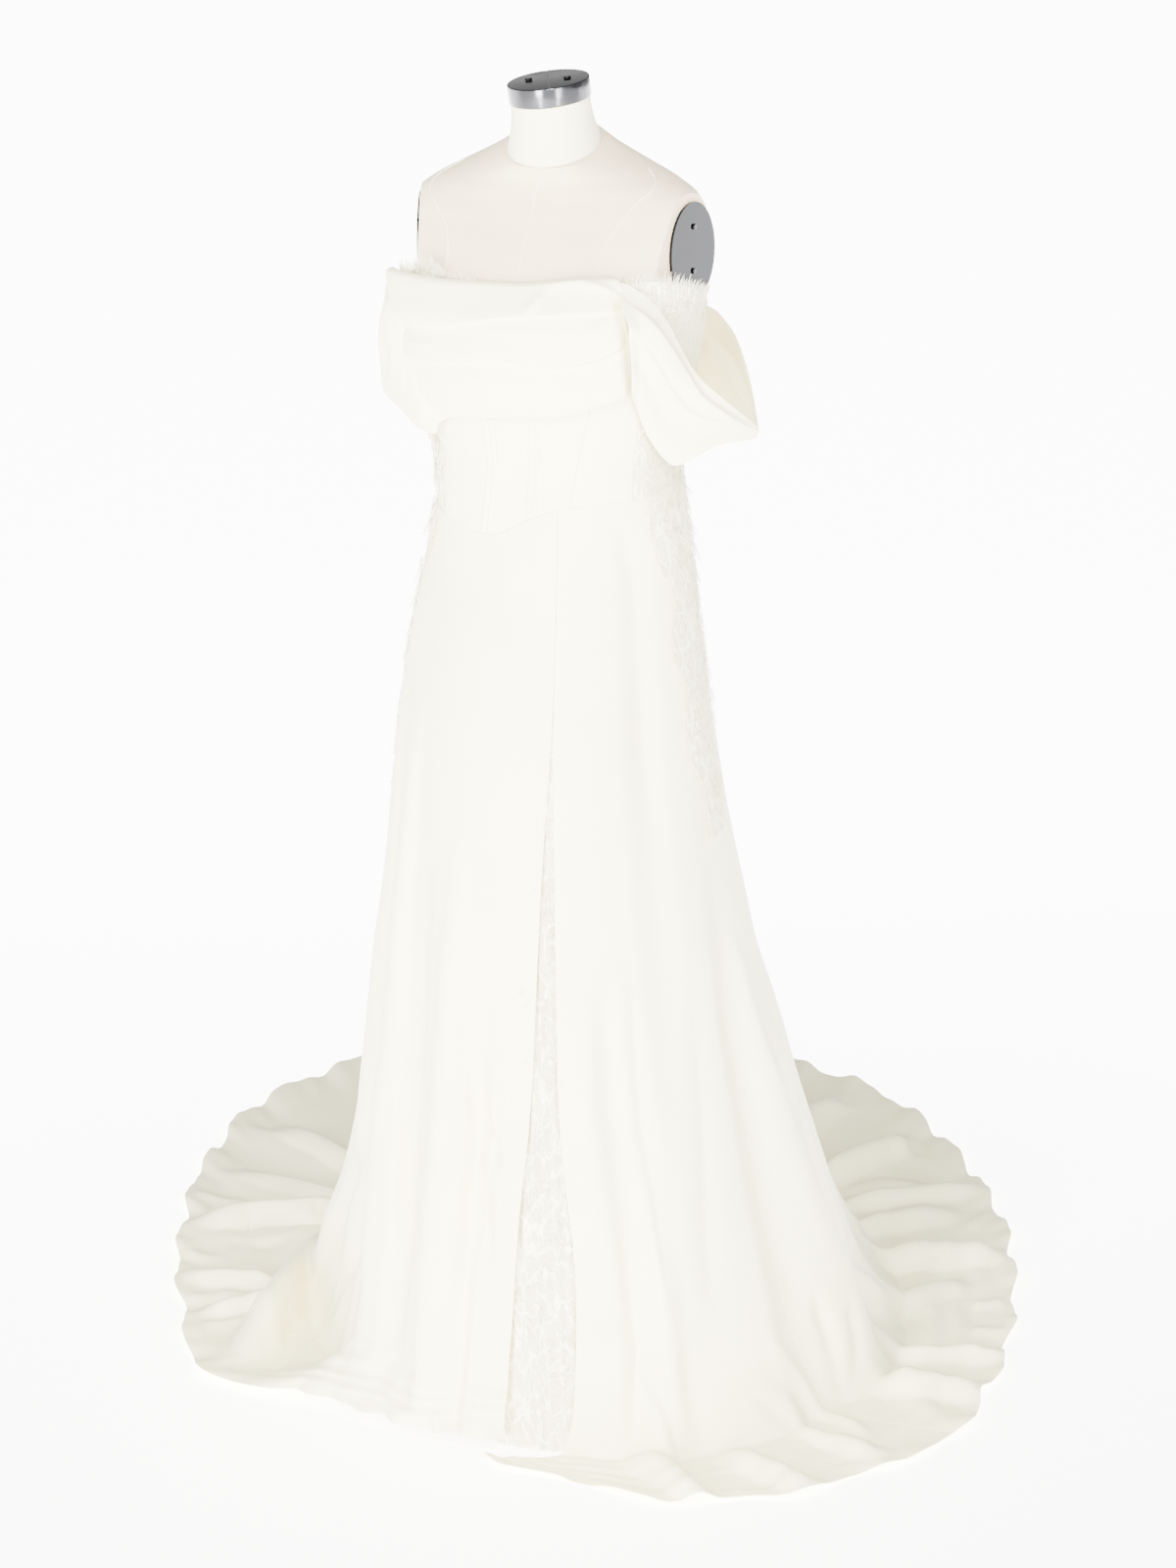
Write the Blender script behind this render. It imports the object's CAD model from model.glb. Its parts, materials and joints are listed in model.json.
import json
import math
import random

import bmesh
import bpy
import numpy as np
from mathutils import Euler, Matrix, Vector

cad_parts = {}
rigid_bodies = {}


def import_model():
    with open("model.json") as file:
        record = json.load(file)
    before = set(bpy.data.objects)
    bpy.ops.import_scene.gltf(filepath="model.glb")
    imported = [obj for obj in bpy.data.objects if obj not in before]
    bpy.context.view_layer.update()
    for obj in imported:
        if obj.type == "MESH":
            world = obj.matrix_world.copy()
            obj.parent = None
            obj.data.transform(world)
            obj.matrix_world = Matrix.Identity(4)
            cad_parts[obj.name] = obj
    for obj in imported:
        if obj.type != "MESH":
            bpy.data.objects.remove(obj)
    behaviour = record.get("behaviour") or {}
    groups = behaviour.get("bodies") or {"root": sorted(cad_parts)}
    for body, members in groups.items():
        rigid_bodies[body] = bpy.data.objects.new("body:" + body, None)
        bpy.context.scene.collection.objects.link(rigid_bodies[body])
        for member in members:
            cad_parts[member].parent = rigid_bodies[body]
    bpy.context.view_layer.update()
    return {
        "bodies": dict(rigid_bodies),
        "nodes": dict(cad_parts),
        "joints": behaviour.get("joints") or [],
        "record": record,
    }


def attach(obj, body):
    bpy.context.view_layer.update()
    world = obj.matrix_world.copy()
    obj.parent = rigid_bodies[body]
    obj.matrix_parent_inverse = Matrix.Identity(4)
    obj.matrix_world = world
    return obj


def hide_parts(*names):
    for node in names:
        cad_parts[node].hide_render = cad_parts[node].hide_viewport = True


# Looks of the wedding dress on its limbless dress form. Metres, +Z up, the wearer faces -Y.
# Azimuths are in degrees from the front, growing towards the wearer's left. A lane of the skirt
# is a line from waist to hem, and a level is a place along it from 0 at the waist to 1 at the hem.

# Cloth and clearances
WALL = 0.0020
SEAM_GAP = 0.0004
BODICE_CLEARANCE = 0.0024
BASQUE_GAP = 0.0009
TORSO_EASE = 0.0012

# Torso sections of the dress form. Each ring is a rounded ellipse about (0, centre y).
# height, half width, half depth, centre y, rise towards the back
TORSO_RINGS = (
    (0.880, 0.132, 0.100, 0.012, 0.00),
    (0.960, 0.140, 0.104, 0.012, 0.00),
    (1.050, 0.146, 0.107, 0.016, 0.00),
    (1.130, 0.147, 0.109, 0.018, 0.00),
    (1.200, 0.145, 0.108, 0.014, 0.00),
    (1.260, 0.153, 0.118, 0.006, 0.00),
    (1.320, 0.165, 0.134, -0.002, 0.00),
    (1.370, 0.172, 0.136, -0.002, 0.00),
    (1.420, 0.181, 0.118, 0.002, 0.00),
    (1.460, 0.186, 0.100, 0.006, 0.00),
    (1.495, 0.184, 0.084, 0.010, 0.03),
    (1.515, 0.174, 0.074, 0.010, 0.08),
    (1.532, 0.150, 0.066, 0.008, 0.16),
    (1.547, 0.116, 0.060, 0.006, 0.26),
    (1.561, 0.084, 0.057, 0.003, 0.34),
    (1.573, 0.060, 0.056, 0.001, 0.40),
)
SECTION_POWER = 2.3

# Neck, a leaning cone between the torso's top ring and the steel cap
NECK_TOP = (0.0000, -0.0130, 1.6265)
NECK_TOP_RADIUS = 0.0470
NECK_BASE_RADIUS = 0.0555
CAP_RADIUS = 0.0490
CAP_HEIGHT = 0.0190
CAP_TILT = (9.0, -4.5)
CAP_BEVEL = 0.0014
CAP_SLOT = 0.0010
SCREW_REACH = 0.0240
SCREW_RADIUS = 0.0045

# Armhole plates, mirrored to both sides
PLATE_CENTRE = (0.1680, 0.0050, 1.4520)
PLATE_TURN = 15.0
PLATE_HALF_DEPTH = 0.0460
PLATE_HALF_HEIGHT = 0.0560
PLATE_THICKNESS = 0.0030
RIVET_HEIGHTS = (0.030, -0.022)
RIVET_RADIUS = 0.0036

# Pole and base
POLE_RADIUS = 0.0160
BASE_RADIUS = 0.1600
BASE_HEIGHT = 0.0140

# Bodice edges by azimuth: the neckline's height and the basque seam's height
# azimuth, neckline height, basque seam height
BODICE_EDGES = (
    (-180.0, 1.372, 1.165),
    (-120.0, 1.386, 1.160),
    (-90.0, 1.404, 1.150),
    (-60.0, 1.427, 1.133),
    (-28.0, 1.419, 1.117),
    (0.0, 1.416, 1.140),
    (26.0, 1.421, 1.157),
    (60.0, 1.427, 1.165),
    (90.0, 1.404, 1.168),
    (120.0, 1.386, 1.168),
    (180.0, 1.372, 1.165),
)

# Bodice seams: azimuth at the basque seam and at the neckline
BODICE_SEAMS = {
    "back": (-180.0, -180.0),
    "right_back": (-104.0, -106.0),
    "right_lace": (-58.0, -58.0),
    "right_princess": (-28.0, -20.0),
    "centre_front": (0.0, 7.0),
    "left_princess": (24.0, 40.0),
    "left_lace": (57.0, 61.0),
    "left_back": (104.0, 106.0),
    "back_again": (180.0, 180.0),
}
# node, first seam, second seam
BODICE_PANELS = (
    ("bodice_back_right", "back", "right_back"),
    ("lace_side_right", "right_back", "right_lace"),
    ("bodice_side_front_right", "right_lace", "right_princess"),
    ("bodice_centre_front_right", "right_princess", "centre_front"),
    ("bodice_centre_front_left", "centre_front", "left_princess"),
    ("bodice_side_front_left", "left_princess", "left_lace"),
    ("lace_side_left", "left_lace", "left_back"),
    ("bodice_back_left", "left_back", "back_again"),
)

# Boning channels on the bodice: two cords side by side in a sewn strip
BONING_HALF_WIDTH = 0.0070
BONING_TOP = 1.310

# Draped band over the bust, three shingled folds. Heights of the fold lines by azimuth.
# azimuth, top edge, first fold, second fold, lower edge, air behind the top edge
BAND_LINES = (
    (-68.0, 1.428, 1.383, 1.327, 1.262, 0.014),
    (-42.0, 1.425, 1.373, 1.331, 1.260, 0.009),
    (-5.0, 1.425, 1.389, 1.341, 1.268, 0.002),
    (15.0, 1.429, 1.394, 1.334, 1.270, 0.002),
    (35.0, 1.434, 1.398, 1.343, 1.283, 0.003),
    (50.0, 1.434, 1.400, 1.370, 1.300, 0.004),
)
# azimuth and height of the upper corner, azimuth and height of the lower corner
BAND_STARTS = (-68.0, 1.428, -43.0, 1.262)
BAND_ENDS = (44.0, 1.434, 50.0, 1.300)
BAND_INSIDE = 0.0046

# Shoulder swags: ribs from the band round the outer corner to the back of the bodice.
# top azimuth, top stand-off, top height, lower azimuth, lower stand-off, lower height
LEFT_SWAG_FRONT = (
    (44.7, 0.0120, 1.4340, 50.7, 0.0150, 1.3000),
    (52.0, 0.0120, 1.4220, 54.5, 0.0160, 1.2700),
    (59.0, 0.0130, 1.4000, 60.0, 0.0220, 1.2360),
    (66.0, 0.0190, 1.3640, 67.5, 0.0370, 1.2080),
    (72.0, 0.0380, 1.3200, 74.0, 0.0500, 1.2180),
    (80.0, 0.0640, 1.2860, 81.0, 0.0660, 1.2300),
    (91.0, 0.0960, 1.2460, 91.0, 0.0950, 1.2320),
)
LEFT_SWAG_BACK = (
    (91.0, 0.0960, 1.2460, 91.0, 0.0950, 1.2320),
    (99.0, 0.0760, 1.2860, 99.0, 0.0740, 1.2360),
    (107.0, 0.0580, 1.3200, 107.0, 0.0540, 1.2420),
    (117.0, 0.0440, 1.3500, 117.0, 0.0400, 1.2500),
    (129.0, 0.0300, 1.3700, 129.0, 0.0270, 1.2560),
    (139.0, 0.0065, 1.3660, 139.0, 0.0060, 1.2580),
    (144.0, 0.0025, 1.3640, 144.0, 0.0025, 1.2600),
)
RIGHT_SWAG_FRONT = (
    (-68.7, 0.0160, 1.4280, -43.7, 0.0150, 1.2620),
    (-70.5, 0.0210, 1.4020, -48.0, 0.0210, 1.2360),
    (-73.0, 0.0270, 1.3660, -56.0, 0.0270, 1.2400),
    (-77.0, 0.0380, 1.3260, -67.0, 0.0340, 1.2580),
    (-84.0, 0.0560, 1.2840, -84.0, 0.0550, 1.2700),
)
RIGHT_SWAG_BACK = (
    (-84.0, 0.0560, 1.2840, -84.0, 0.0550, 1.2700),
    (-95.0, 0.0500, 1.3140, -95.0, 0.0460, 1.2520),
    (-107.0, 0.0440, 1.3400, -107.0, 0.0400, 1.2500),
    (-119.0, 0.0400, 1.3620, -119.0, 0.0360, 1.2540),
    (-130.0, 0.0300, 1.3700, -130.0, 0.0270, 1.2560),
    (-139.0, 0.0065, 1.3660, -139.0, 0.0060, 1.2580),
    (-144.0, 0.0025, 1.3640, -144.0, 0.0025, 1.2600),
)
SWAG_PLEAT_AT = 0.36
SWAG_PLEAT_DEPTH = 0.0050
SWAG_BULGE = 0.0060

# Lace trim on the neckline. first azimuth, last azimuth, clusters of strands
TRIM_RANGES = {"lace_trim_left": (46.0, 116.0, 20), "lace_trim_right": (-116.0, -26.0, 26)}
TRIM_DROP = 0.0140
TRIM_WALL = 0.0014
TRIM_STAND_OFF = 0.0008

# Skirt. A lane is a line from the waist to the hem. Lanes run from the slit at SLIT_LANE,
# round the wearer's left, the back and the right, to the slit again at SLIT_LANE + 360.
SLIT_LANE = 17.0
SIDE_LEFT_LANE = 84.0
BACK_LANE = 190.0
SIDE_RIGHT_LANE = 276.0
SKIRT_CENTRE_FADES = (0.80, 1.13)
# Place of each level along a lane: waist, hip, thigh, knee, shin, ankle, toe and hem
LEVELS = np.array((0.0, 0.10, 0.20, 0.32, 0.44, 0.54, 0.60, 1.0))
LAID_HEIGHTS = (0.95, 0.70, 0.45, 0.20, 0.055, WALL, WALL)
HANGING_HEIGHTS = (0.95, 0.70, 0.45, 0.30, 0.18, 0.10, 0.022)
# lane, hip, thigh, knee, shin, ankle, toe, share of the lane's foot that hangs clear
SKIRT_RADII = (
    (17.0, 0.152, 0.191, 0.221, 0.244, 0.258, 0.270, 0.0),
    (50.0, 0.160, 0.198, 0.234, 0.272, 0.302, 0.330, 0.0),
    (84.0, 0.176, 0.208, 0.252, 0.308, 0.352, 0.385, 0.0),
    (108.0, 0.181, 0.224, 0.282, 0.354, 0.410, 0.448, 0.0),
    (125.0, 0.182, 0.230, 0.294, 0.374, 0.440, 0.484, 0.0),
    (150.0, 0.182, 0.243, 0.330, 0.435, 0.520, 0.575, 0.0),
    (198.0, 0.182, 0.250, 0.350, 0.470, 0.570, 0.635, 0.0),
    (240.0, 0.183, 0.233, 0.300, 0.378, 0.445, 0.485, 0.0),
    (265.0, 0.184, 0.221, 0.260, 0.302, 0.338, 0.366, 0.0),
    (290.0, 0.184, 0.212, 0.236, 0.256, 0.276, 0.294, 0.05),
    (312.0, 0.174, 0.204, 0.230, 0.250, 0.264, 0.274, 0.9),
    (345.0, 0.158, 0.193, 0.224, 0.242, 0.256, 0.264, 1.0),
    (377.0, 0.152, 0.191, 0.221, 0.240, 0.254, 0.262, 1.0),
)
# lane, hem's distance from the axis
HEM_RADII = (
    (17.0, 0.285), (22.0, 0.309), (28.0, 0.320), (33.0, 0.345), (38.0, 0.372), (44.0, 0.432),
    (50.0, 0.446), (56.0, 0.476), (62.0, 0.486), (70.0, 0.504), (84.0, 0.545), (95.0, 0.556),
    (107.0, 0.579), (118.0, 0.614), (132.0, 0.683), (143.0, 0.768),
    (152.0, 0.846), (162.0, 0.962), (171.0, 1.068), (180.0, 1.145), (190.0, 1.190), (200.0, 1.200),
    (209.0, 1.170), (217.0, 1.110), (222.0, 1.054), (228.0, 0.977), (233.0, 0.889), (240.0, 0.799),
    (248.0, 0.694), (257.0, 0.618), (266.0, 0.555), (276.0, 0.506), (290.0, 0.474), (301.0, 0.415),
    (312.0, 0.335), (330.0, 0.300), (350.0, 0.286), (377.0, 0.278),
)
# Sideways turn of the two slit edges at each level, fading over a stretch of lanes
SWING_LEFT_EDGE = (0.0, 0.0, 1.0, 2.0, 7.0, 6.0, 2.0, -17.0)
SWING_RIGHT_EDGE = (0.0, 0.0, -4.0, -6.5, -9.5, -11.0, -12.0, -12.5)
SWING_FADE = 45.0
# Folds that run down the lanes. lane, half width, reach outwards, first level, last level
FALL_FOLDS = (
    (26.0, 9.0, 0.007, 0.22, 0.50),
    (36.0, 7.0, -0.012, 0.36, 0.62),
    (44.0, 9.0, 0.016, 0.34, 0.66),
    (56.0, 12.0, -0.007, 0.06, 0.40),
    (84.0, 9.0, -0.012, 0.19, 0.66),
    (97.0, 9.0, 0.006, 0.19, 0.62),
    (112.0, 8.0, -0.010, 0.24, 0.60),
    (124.0, 9.0, 0.007, 0.22, 0.62),
    (138.0, 8.0, -0.016, 0.26, 0.62),
    (150.0, 9.0, 0.020, 0.20, 0.64),
    (164.0, 9.0, -0.020, 0.22, 0.64),
    (176.0, 9.0, 0.022, 0.18, 0.64),
    (190.0, 8.0, -0.022, 0.16, 0.64),
    (203.0, 9.0, 0.022, 0.18, 0.64),
    (216.0, 9.0, -0.020, 0.22, 0.64),
    (229.0, 9.0, 0.020, 0.20, 0.62),
    (243.0, 8.0, -0.016, 0.26, 0.62),
    (255.0, 8.0, 0.010, 0.22, 0.62),
    (269.0, 8.0, -0.018, 0.19, 0.62),
    (284.0, 9.0, 0.006, 0.19, 0.60),
    (299.0, 7.0, -0.010, 0.08, 0.80),
    (312.0, 8.0, 0.008, 0.10, 0.90),
    (326.0, 7.0, -0.011, 0.16, 1.02),
    (341.0, 9.0, 0.009, 0.14, 1.02),
    (357.0, 7.0, -0.014, 0.24, 1.02),
    (369.0, 5.0, 0.004, 0.26, 1.02),
)
# Raised folds of the cloth on the floor.
# first azimuth, first radius, last azimuth, last radius, half width, height
FLOOR_FOLDS = (
    (37.0, 0.300, 42.0, 0.450, 0.030, 0.020),
    (56.0, 0.340, 58.0, 0.480, 0.034, 0.016),
    (74.0, 0.360, 73.0, 0.500, 0.030, 0.014),
    (97.0, 0.420, 97.0, 0.570, 0.040, 0.024),
    (110.0, 0.430, 108.0, 0.585, 0.028, 0.015),
    (124.0, 0.440, 131.0, 0.600, 0.028, 0.020),
    (142.0, 0.500, 135.0, 0.700, 0.036, 0.034),
    (154.0, 0.560, 148.0, 0.740, 0.034, 0.018),
    (160.0, 0.640, 150.0, 0.830, 0.030, 0.020),
    (166.0, 0.680, 163.0, 0.920, 0.034, 0.022),
    (174.0, 0.640, 173.0, 1.020, 0.036, 0.020),
    (183.0, 0.660, 181.0, 1.080, 0.036, 0.024),
    (193.0, 0.660, 192.0, 1.120, 0.036, 0.018),
    (203.0, 0.660, 203.0, 1.120, 0.038, 0.024),
    (213.0, 0.640, 213.0, 1.060, 0.036, 0.020),
    (221.0, 0.620, 226.0, 0.900, 0.034, 0.022),
    (227.0, 0.560, 235.0, 0.780, 0.030, 0.018),
    (229.0, 0.540, 248.0, 0.670, 0.036, 0.036),
    (238.0, 0.500, 286.0, 0.400, 0.040, 0.044),
    (256.0, 0.440, 262.0, 0.570, 0.028, 0.020),
    (264.0, 0.410, 272.0, 0.500, 0.026, 0.018),
)
RIPPLE_LENGTH = 0.150
RIPPLE_OUT = 0.006
RIPPLE_UP = 0.007
# node, first lane, last lane, columns of faces
SKIRT_PANELS = (
    ("skirt_front_left", SLIT_LANE, SIDE_LEFT_LANE, 110),
    ("skirt_back_left", SIDE_LEFT_LANE, BACK_LANE, 190),
    ("skirt_back_right", BACK_LANE, SIDE_RIGHT_LANE, 190),
    ("skirt_front_right", SIDE_RIGHT_LANE, SLIT_LANE + 360.0, 130),
)

# Lace appliqué on both hips: edges of the motif by level
# level, front lane, back lane (on the wearer's left, mirrored for the right)
HIP_LACE = (
    (0.010, 65.0, 112.0), (0.035, 68.0, 116.0), (0.060, 77.0, 110.0), (0.085, 73.0, 104.0),
    (0.110, 80.0, 106.0), (0.135, 78.0, 102.0), (0.160, 86.0, 101.0), (0.185, 87.0, 98.0),
)

# Lace inset behind the slit
INSET_TOP = 0.925
# height, lanes that the inset reaches behind each panel, room behind the panels
INSET_LINES = (
    (0.018, 3.5, 0.0110), (0.230, 3.5, 0.0090), (0.420, 3.5, 0.0060), (0.600, 3.0, 0.0040),
    (0.720, 3.0, 0.0022), (0.850, 2.6, 0.0008), (0.925, 2.2, 0.0007),
)

# Creases of the skirt, read off the photograph: a soft ridge (height over 0) or trough.
# height, width towards lower lanes, width towards higher lanes, (lane, level) points
SKIRT_CREASES = (
    # front right panel
    (-0.0045, 0.030, 0.030, ((303, 0.025), (336, 0.05), (351, 0.085), (358, 0.13))),
    (-0.0030, 0.022, 0.022, ((357, 0.03), (372, 0.075))),
    (-0.0080, 0.018, 0.026, ((294, 0.10), (294, 0.312), (295, 0.356), (289, 0.388), (266, 0.444))),
    (-0.0100, 0.010, 0.028, ((316, 0.14), (321, 0.288), (324, 0.38), (327, 0.492), (330, 0.596),
                             (336, 0.836), (338, 1.0))),
    (-0.0090, 0.030, 0.016, ((295, 0.324), (296, 0.38), (295, 0.452), (309, 0.54), (312, 0.668),
                             (315, 0.92))),
    (-0.0110, 0.026, 0.014, ((362, 0.40), (364, 0.444), (370, 0.504), (373, 0.56), (374, 0.80))),
    (-0.0050, 0.016, 0.014, ((350, 0.28), (356, 0.332), (364, 0.364), (370, 0.396))),
    (0.0034, 0.007, 0.010, ((347, 0.424), (354, 0.396), (358, 0.384))),
    (0.0026, 0.006, 0.008, ((340, 0.366), (346, 0.336), (352, 0.322))),
    (-0.0030, 0.010, 0.014, ((338, 0.542), (348, 0.572), (362, 0.592))),
    (0.0050, 0.030, 0.030, ((344, 0.20), (346, 0.40), (350, 0.55))),
    (0.0016, 0.004, 0.003, ((315, 0.764), (320, 0.684), (329, 0.612), (334, 0.606))),
    (0.0016, 0.004, 0.003, ((335, 0.664), (347, 0.644), (358, 0.628), (369, 0.60), (376, 0.59))),
    # the wearer's right side and train
    (-0.0060, 0.020, 0.018, ((294, 0.436), (290, 0.472), (278, 0.536), (273, 0.612), (288, 0.744),
                             (298, 0.852))),
    (0.0110, 0.045, 0.018, ((262, 0.44), (260, 0.48), (259, 0.508), (258, 0.596), (271, 0.68),
                            (282, 0.808), (289, 0.88), (292, 0.98))),
    (0.0120, 0.008, 0.040, ((229, 0.96), (227, 0.88), (226, 0.816), (225, 0.74))),
    (0.0110, 0.008, 0.036, ((237, 0.95), (235, 0.832), (233, 0.748), (232, 0.70))),
    (0.0240, 0.010, 0.050, ((249, 0.99), (247, 0.88), (246, 0.812), (241, 0.708), (237, 0.66),
                            (236, 0.60))),
    (-0.0060, 0.016, 0.020, ((250, 0.86), (249, 0.828), (247, 0.752), (243, 0.692), (239, 0.664))),
    (0.0110, 0.007, 0.026, ((268, 0.98), (264, 0.808), (266, 0.70), (268, 0.65))),
    (0.0080, 0.006, 0.022, ((276, 0.94), (275, 0.892), (273, 0.792), (271, 0.70))),
    (0.0060, 0.006, 0.014, ((243, 0.99), (241, 0.91), (239, 0.83))),
    (0.0050, 0.005, 0.012, ((256, 1.0), (255, 0.93), (254, 0.86))),
    (0.0050, 0.005, 0.012, ((262, 1.0), (260, 0.93), (258, 0.87))),
    # front left panel
    (-0.0040, 0.020, 0.026, ((48, 0.01), (55, 0.04), (57, 0.105), (58, 0.17))),
    (-0.0070, 0.022, 0.018, ((34, 0.26), (35, 0.312), (37, 0.384), (44, 0.472))),
    (-0.0045, 0.014, 0.018, ((44, 0.24), (44, 0.324), (46, 0.384), (47, 0.452))),
    (-0.0045, 0.020, 0.022, ((68, 0.25), (66, 0.332), (62, 0.412), (61, 0.464))),
    (0.0130, 0.030, 0.011, ((35, 0.475), (37, 0.516), (41, 0.552), (43, 0.672), (44, 0.924),
                            (44, 1.0))),
    (0.0070, 0.014, 0.018, ((35, 0.478), (28, 0.50), (24, 0.544), (22, 0.62))),
    (0.0040, 0.008, 0.012, ((19, 0.458), (25, 0.472), (31, 0.48))),
    (-0.0110, 0.012, 0.024, ((39, 0.488), (42, 0.54), (46, 0.59), (48, 0.68))),
    (-0.0060, 0.014, 0.016, ((73, 0.528), (79, 0.572), (76, 0.66), (72, 0.76))),
    (-0.0050, 0.012, 0.014, ((67, 0.54), (73, 0.588), (70, 0.68), (68, 0.764))),
    (0.0060, 0.014, 0.014, ((76, 0.50), (83, 0.57), (81, 0.68), (78, 0.80))),
    (0.0015, 0.004, 0.003, ((18, 0.448), (26, 0.444), (38, 0.444), (44, 0.452))),
    (-0.0060, 0.010, 0.012, ((35, 1.0), (33, 0.932), (29, 0.86), (26, 0.80))),
    (0.0060, 0.016, 0.020, ((56, 0.99), (58, 0.86), (60, 0.74))),
    # the wearer's left side and train
    (0.0120, 0.040, 0.010, ((92, 0.26), (93, 0.304), (96, 0.344), (99, 0.384), (103, 0.44),
                            (105, 0.50), (103, 0.552), (100, 0.64), (91, 0.824), (85, 0.992))),
    (0.0070, 0.020, 0.008, ((103, 0.30), (103, 0.332), (115, 0.388), (115, 0.444), (116, 0.49))),
    (-0.0080, 0.012, 0.012, ((92, 0.48), (92, 0.508), (91, 0.548), (89, 0.584))),
    (-0.0070, 0.012, 0.012, ((100, 0.50), (99, 0.52), (97, 0.544), (90, 0.584))),
    (0.0050, 0.008, 0.008, ((102, 0.552), (104, 0.592), (101, 0.704), (99, 0.884))),
    (0.0110, 0.034, 0.008, ((165, 0.70), (165, 0.784), (165, 0.844), (164, 0.892), (160, 0.91))),
    (0.0090, 0.028, 0.007, ((161, 0.70), (160, 0.764), (157, 0.824), (153, 0.892))),
    (0.0080, 0.026, 0.007, ((153, 0.64), (153, 0.676), (152, 0.776), (151, 0.848))),
    (0.0240, 0.046, 0.009, ((139, 0.54), (138, 0.572), (137, 0.68), (135, 0.852), (134, 0.93))),
    (0.0110, 0.018, 0.010, ((104, 0.46), (114, 0.504), (121, 0.544), (130, 0.612), (131, 0.64))),
    (0.0080, 0.020, 0.008, ((122, 0.62), (126, 0.70), (128, 0.744), (130, 0.836))),
    (-0.0060, 0.012, 0.010, ((110, 0.54), (113, 0.552), (121, 0.588), (123, 0.644))),
    (0.0060, 0.012, 0.006, ((115, 0.99), (116, 0.90), (117, 0.82))),
    (0.0060, 0.012, 0.006, ((124, 0.99), (124, 0.90), (125, 0.84))),
    (0.0060, 0.012, 0.006, ((107, 0.99), (108, 0.90), (110, 0.80))),
    (0.0050, 0.012, 0.006, ((146, 0.99), (145, 0.93), (144, 0.87))),
    # the side away from the photograph
    (0.0100, 0.020, 0.010, ((173, 0.62), (172, 0.72), (174, 0.84), (171, 0.93))),
    (-0.0080, 0.020, 0.014, ((181, 0.52), (183, 0.62), (181, 0.74))),
    (0.0120, 0.012, 0.026, ((187, 0.60), (189, 0.72), (186, 0.86), (188, 0.95))),
    (0.0110, 0.024, 0.010, ((199, 0.58), (200, 0.70), (203, 0.84))),
    (-0.0080, 0.014, 0.018, ((207, 0.50), (209, 0.64), (206, 0.80))),
    (0.0130, 0.010, 0.024, ((215, 0.60), (213, 0.72), (216, 0.88))),
    (0.0040, 0.014, 0.010, ((171, 0.30), (176, 0.38), (174, 0.46))),
    (0.0040, 0.010, 0.014, ((212, 0.28), (206, 0.36), (209, 0.45))),
    (-0.0040, 0.012, 0.020, ((150, 0.20), (156, 0.32), (158, 0.45))),
    (-0.0040, 0.020, 0.012, ((236, 0.18), (229, 0.32), (226, 0.44))),
)
# Creases of the draped band. height, width above, width below, (azimuth, height over the floor)
BAND_CREASES = (
    (0.0030, 0.006, 0.009, ((13, 1.416), (9, 1.404), (5, 1.392))),
    (0.0036, 0.004, 0.010, ((14, 1.427), (24, 1.429), (31, 1.430), (40, 1.424), (46, 1.414))),
    (-0.0026, 0.006, 0.005, ((-62, 1.404), (-52, 1.400), (-40, 1.402))),
    (0.0022, 0.006, 0.008, ((-58, 1.352), (-47, 1.348), (-34, 1.352))),
    (0.0026, 0.005, 0.008, ((46, 1.392), (40, 1.388), (35, 1.376), (33, 1.362))),
    (-0.0020, 0.006, 0.006, ((44, 1.352), (34, 1.330), (24, 1.318))),
    (0.0020, 0.008, 0.010, ((-52, 1.300), (-40, 1.294), (-26, 1.298))),
    (-0.0018, 0.006, 0.008, ((46, 1.330), (38, 1.306), (30, 1.294))),
)
# Creases of the swags. height, width above, width below, (place along, share down); the place
# runs from 0 at the band to 1 at the outer corner and 2 at the back of the bodice
SWAG_CREASES = (
    (0.0050, 0.004, 0.012, ((0.0, 0.18), (0.25, 0.20), (0.5, 0.22), (0.8, 0.30), (1.0, 0.45))),
    (0.0045, 0.004, 0.010, ((0.0, 0.42), (0.3, 0.46), (0.6, 0.50), (0.95, 0.52))),
    (-0.0030, 0.006, 0.008, ((0.0, 0.62), (0.25, 0.66), (0.5, 0.70))),
    (0.0030, 0.006, 0.010, ((0.05, 0.84), (0.3, 0.86), (0.6, 0.80), (0.9, 0.66))),
    (0.0040, 0.006, 0.010, ((1.05, 0.50), (1.3, 0.40), (1.6, 0.36), (2.0, 0.30))),
    (0.0035, 0.006, 0.010, ((1.10, 0.60), (1.4, 0.66), (1.7, 0.70), (2.0, 0.74))),
    (-0.0025, 0.008, 0.008, ((1.2, 0.52), (1.6, 0.54), (2.0, 0.55))),
)


def knot_slopes(knots, values):
    """Slopes at the knots of a smooth curve that never overshoots them."""
    steps = np.diff(knots)
    if values.ndim > 1:
        steps = steps[:, None]
    rises = np.diff(values, axis=0) / steps
    slopes = np.empty_like(values)
    slopes[0] = rises[0]
    slopes[-1] = rises[-1]
    before = rises[:-1]
    after = rises[1:]
    same_way = before * after > 0.0
    total = np.where(same_way, before + after, 1.0)
    slopes[1:-1] = np.where(same_way, 2.0 * before * after / total, 0.0)
    return slopes


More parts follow.
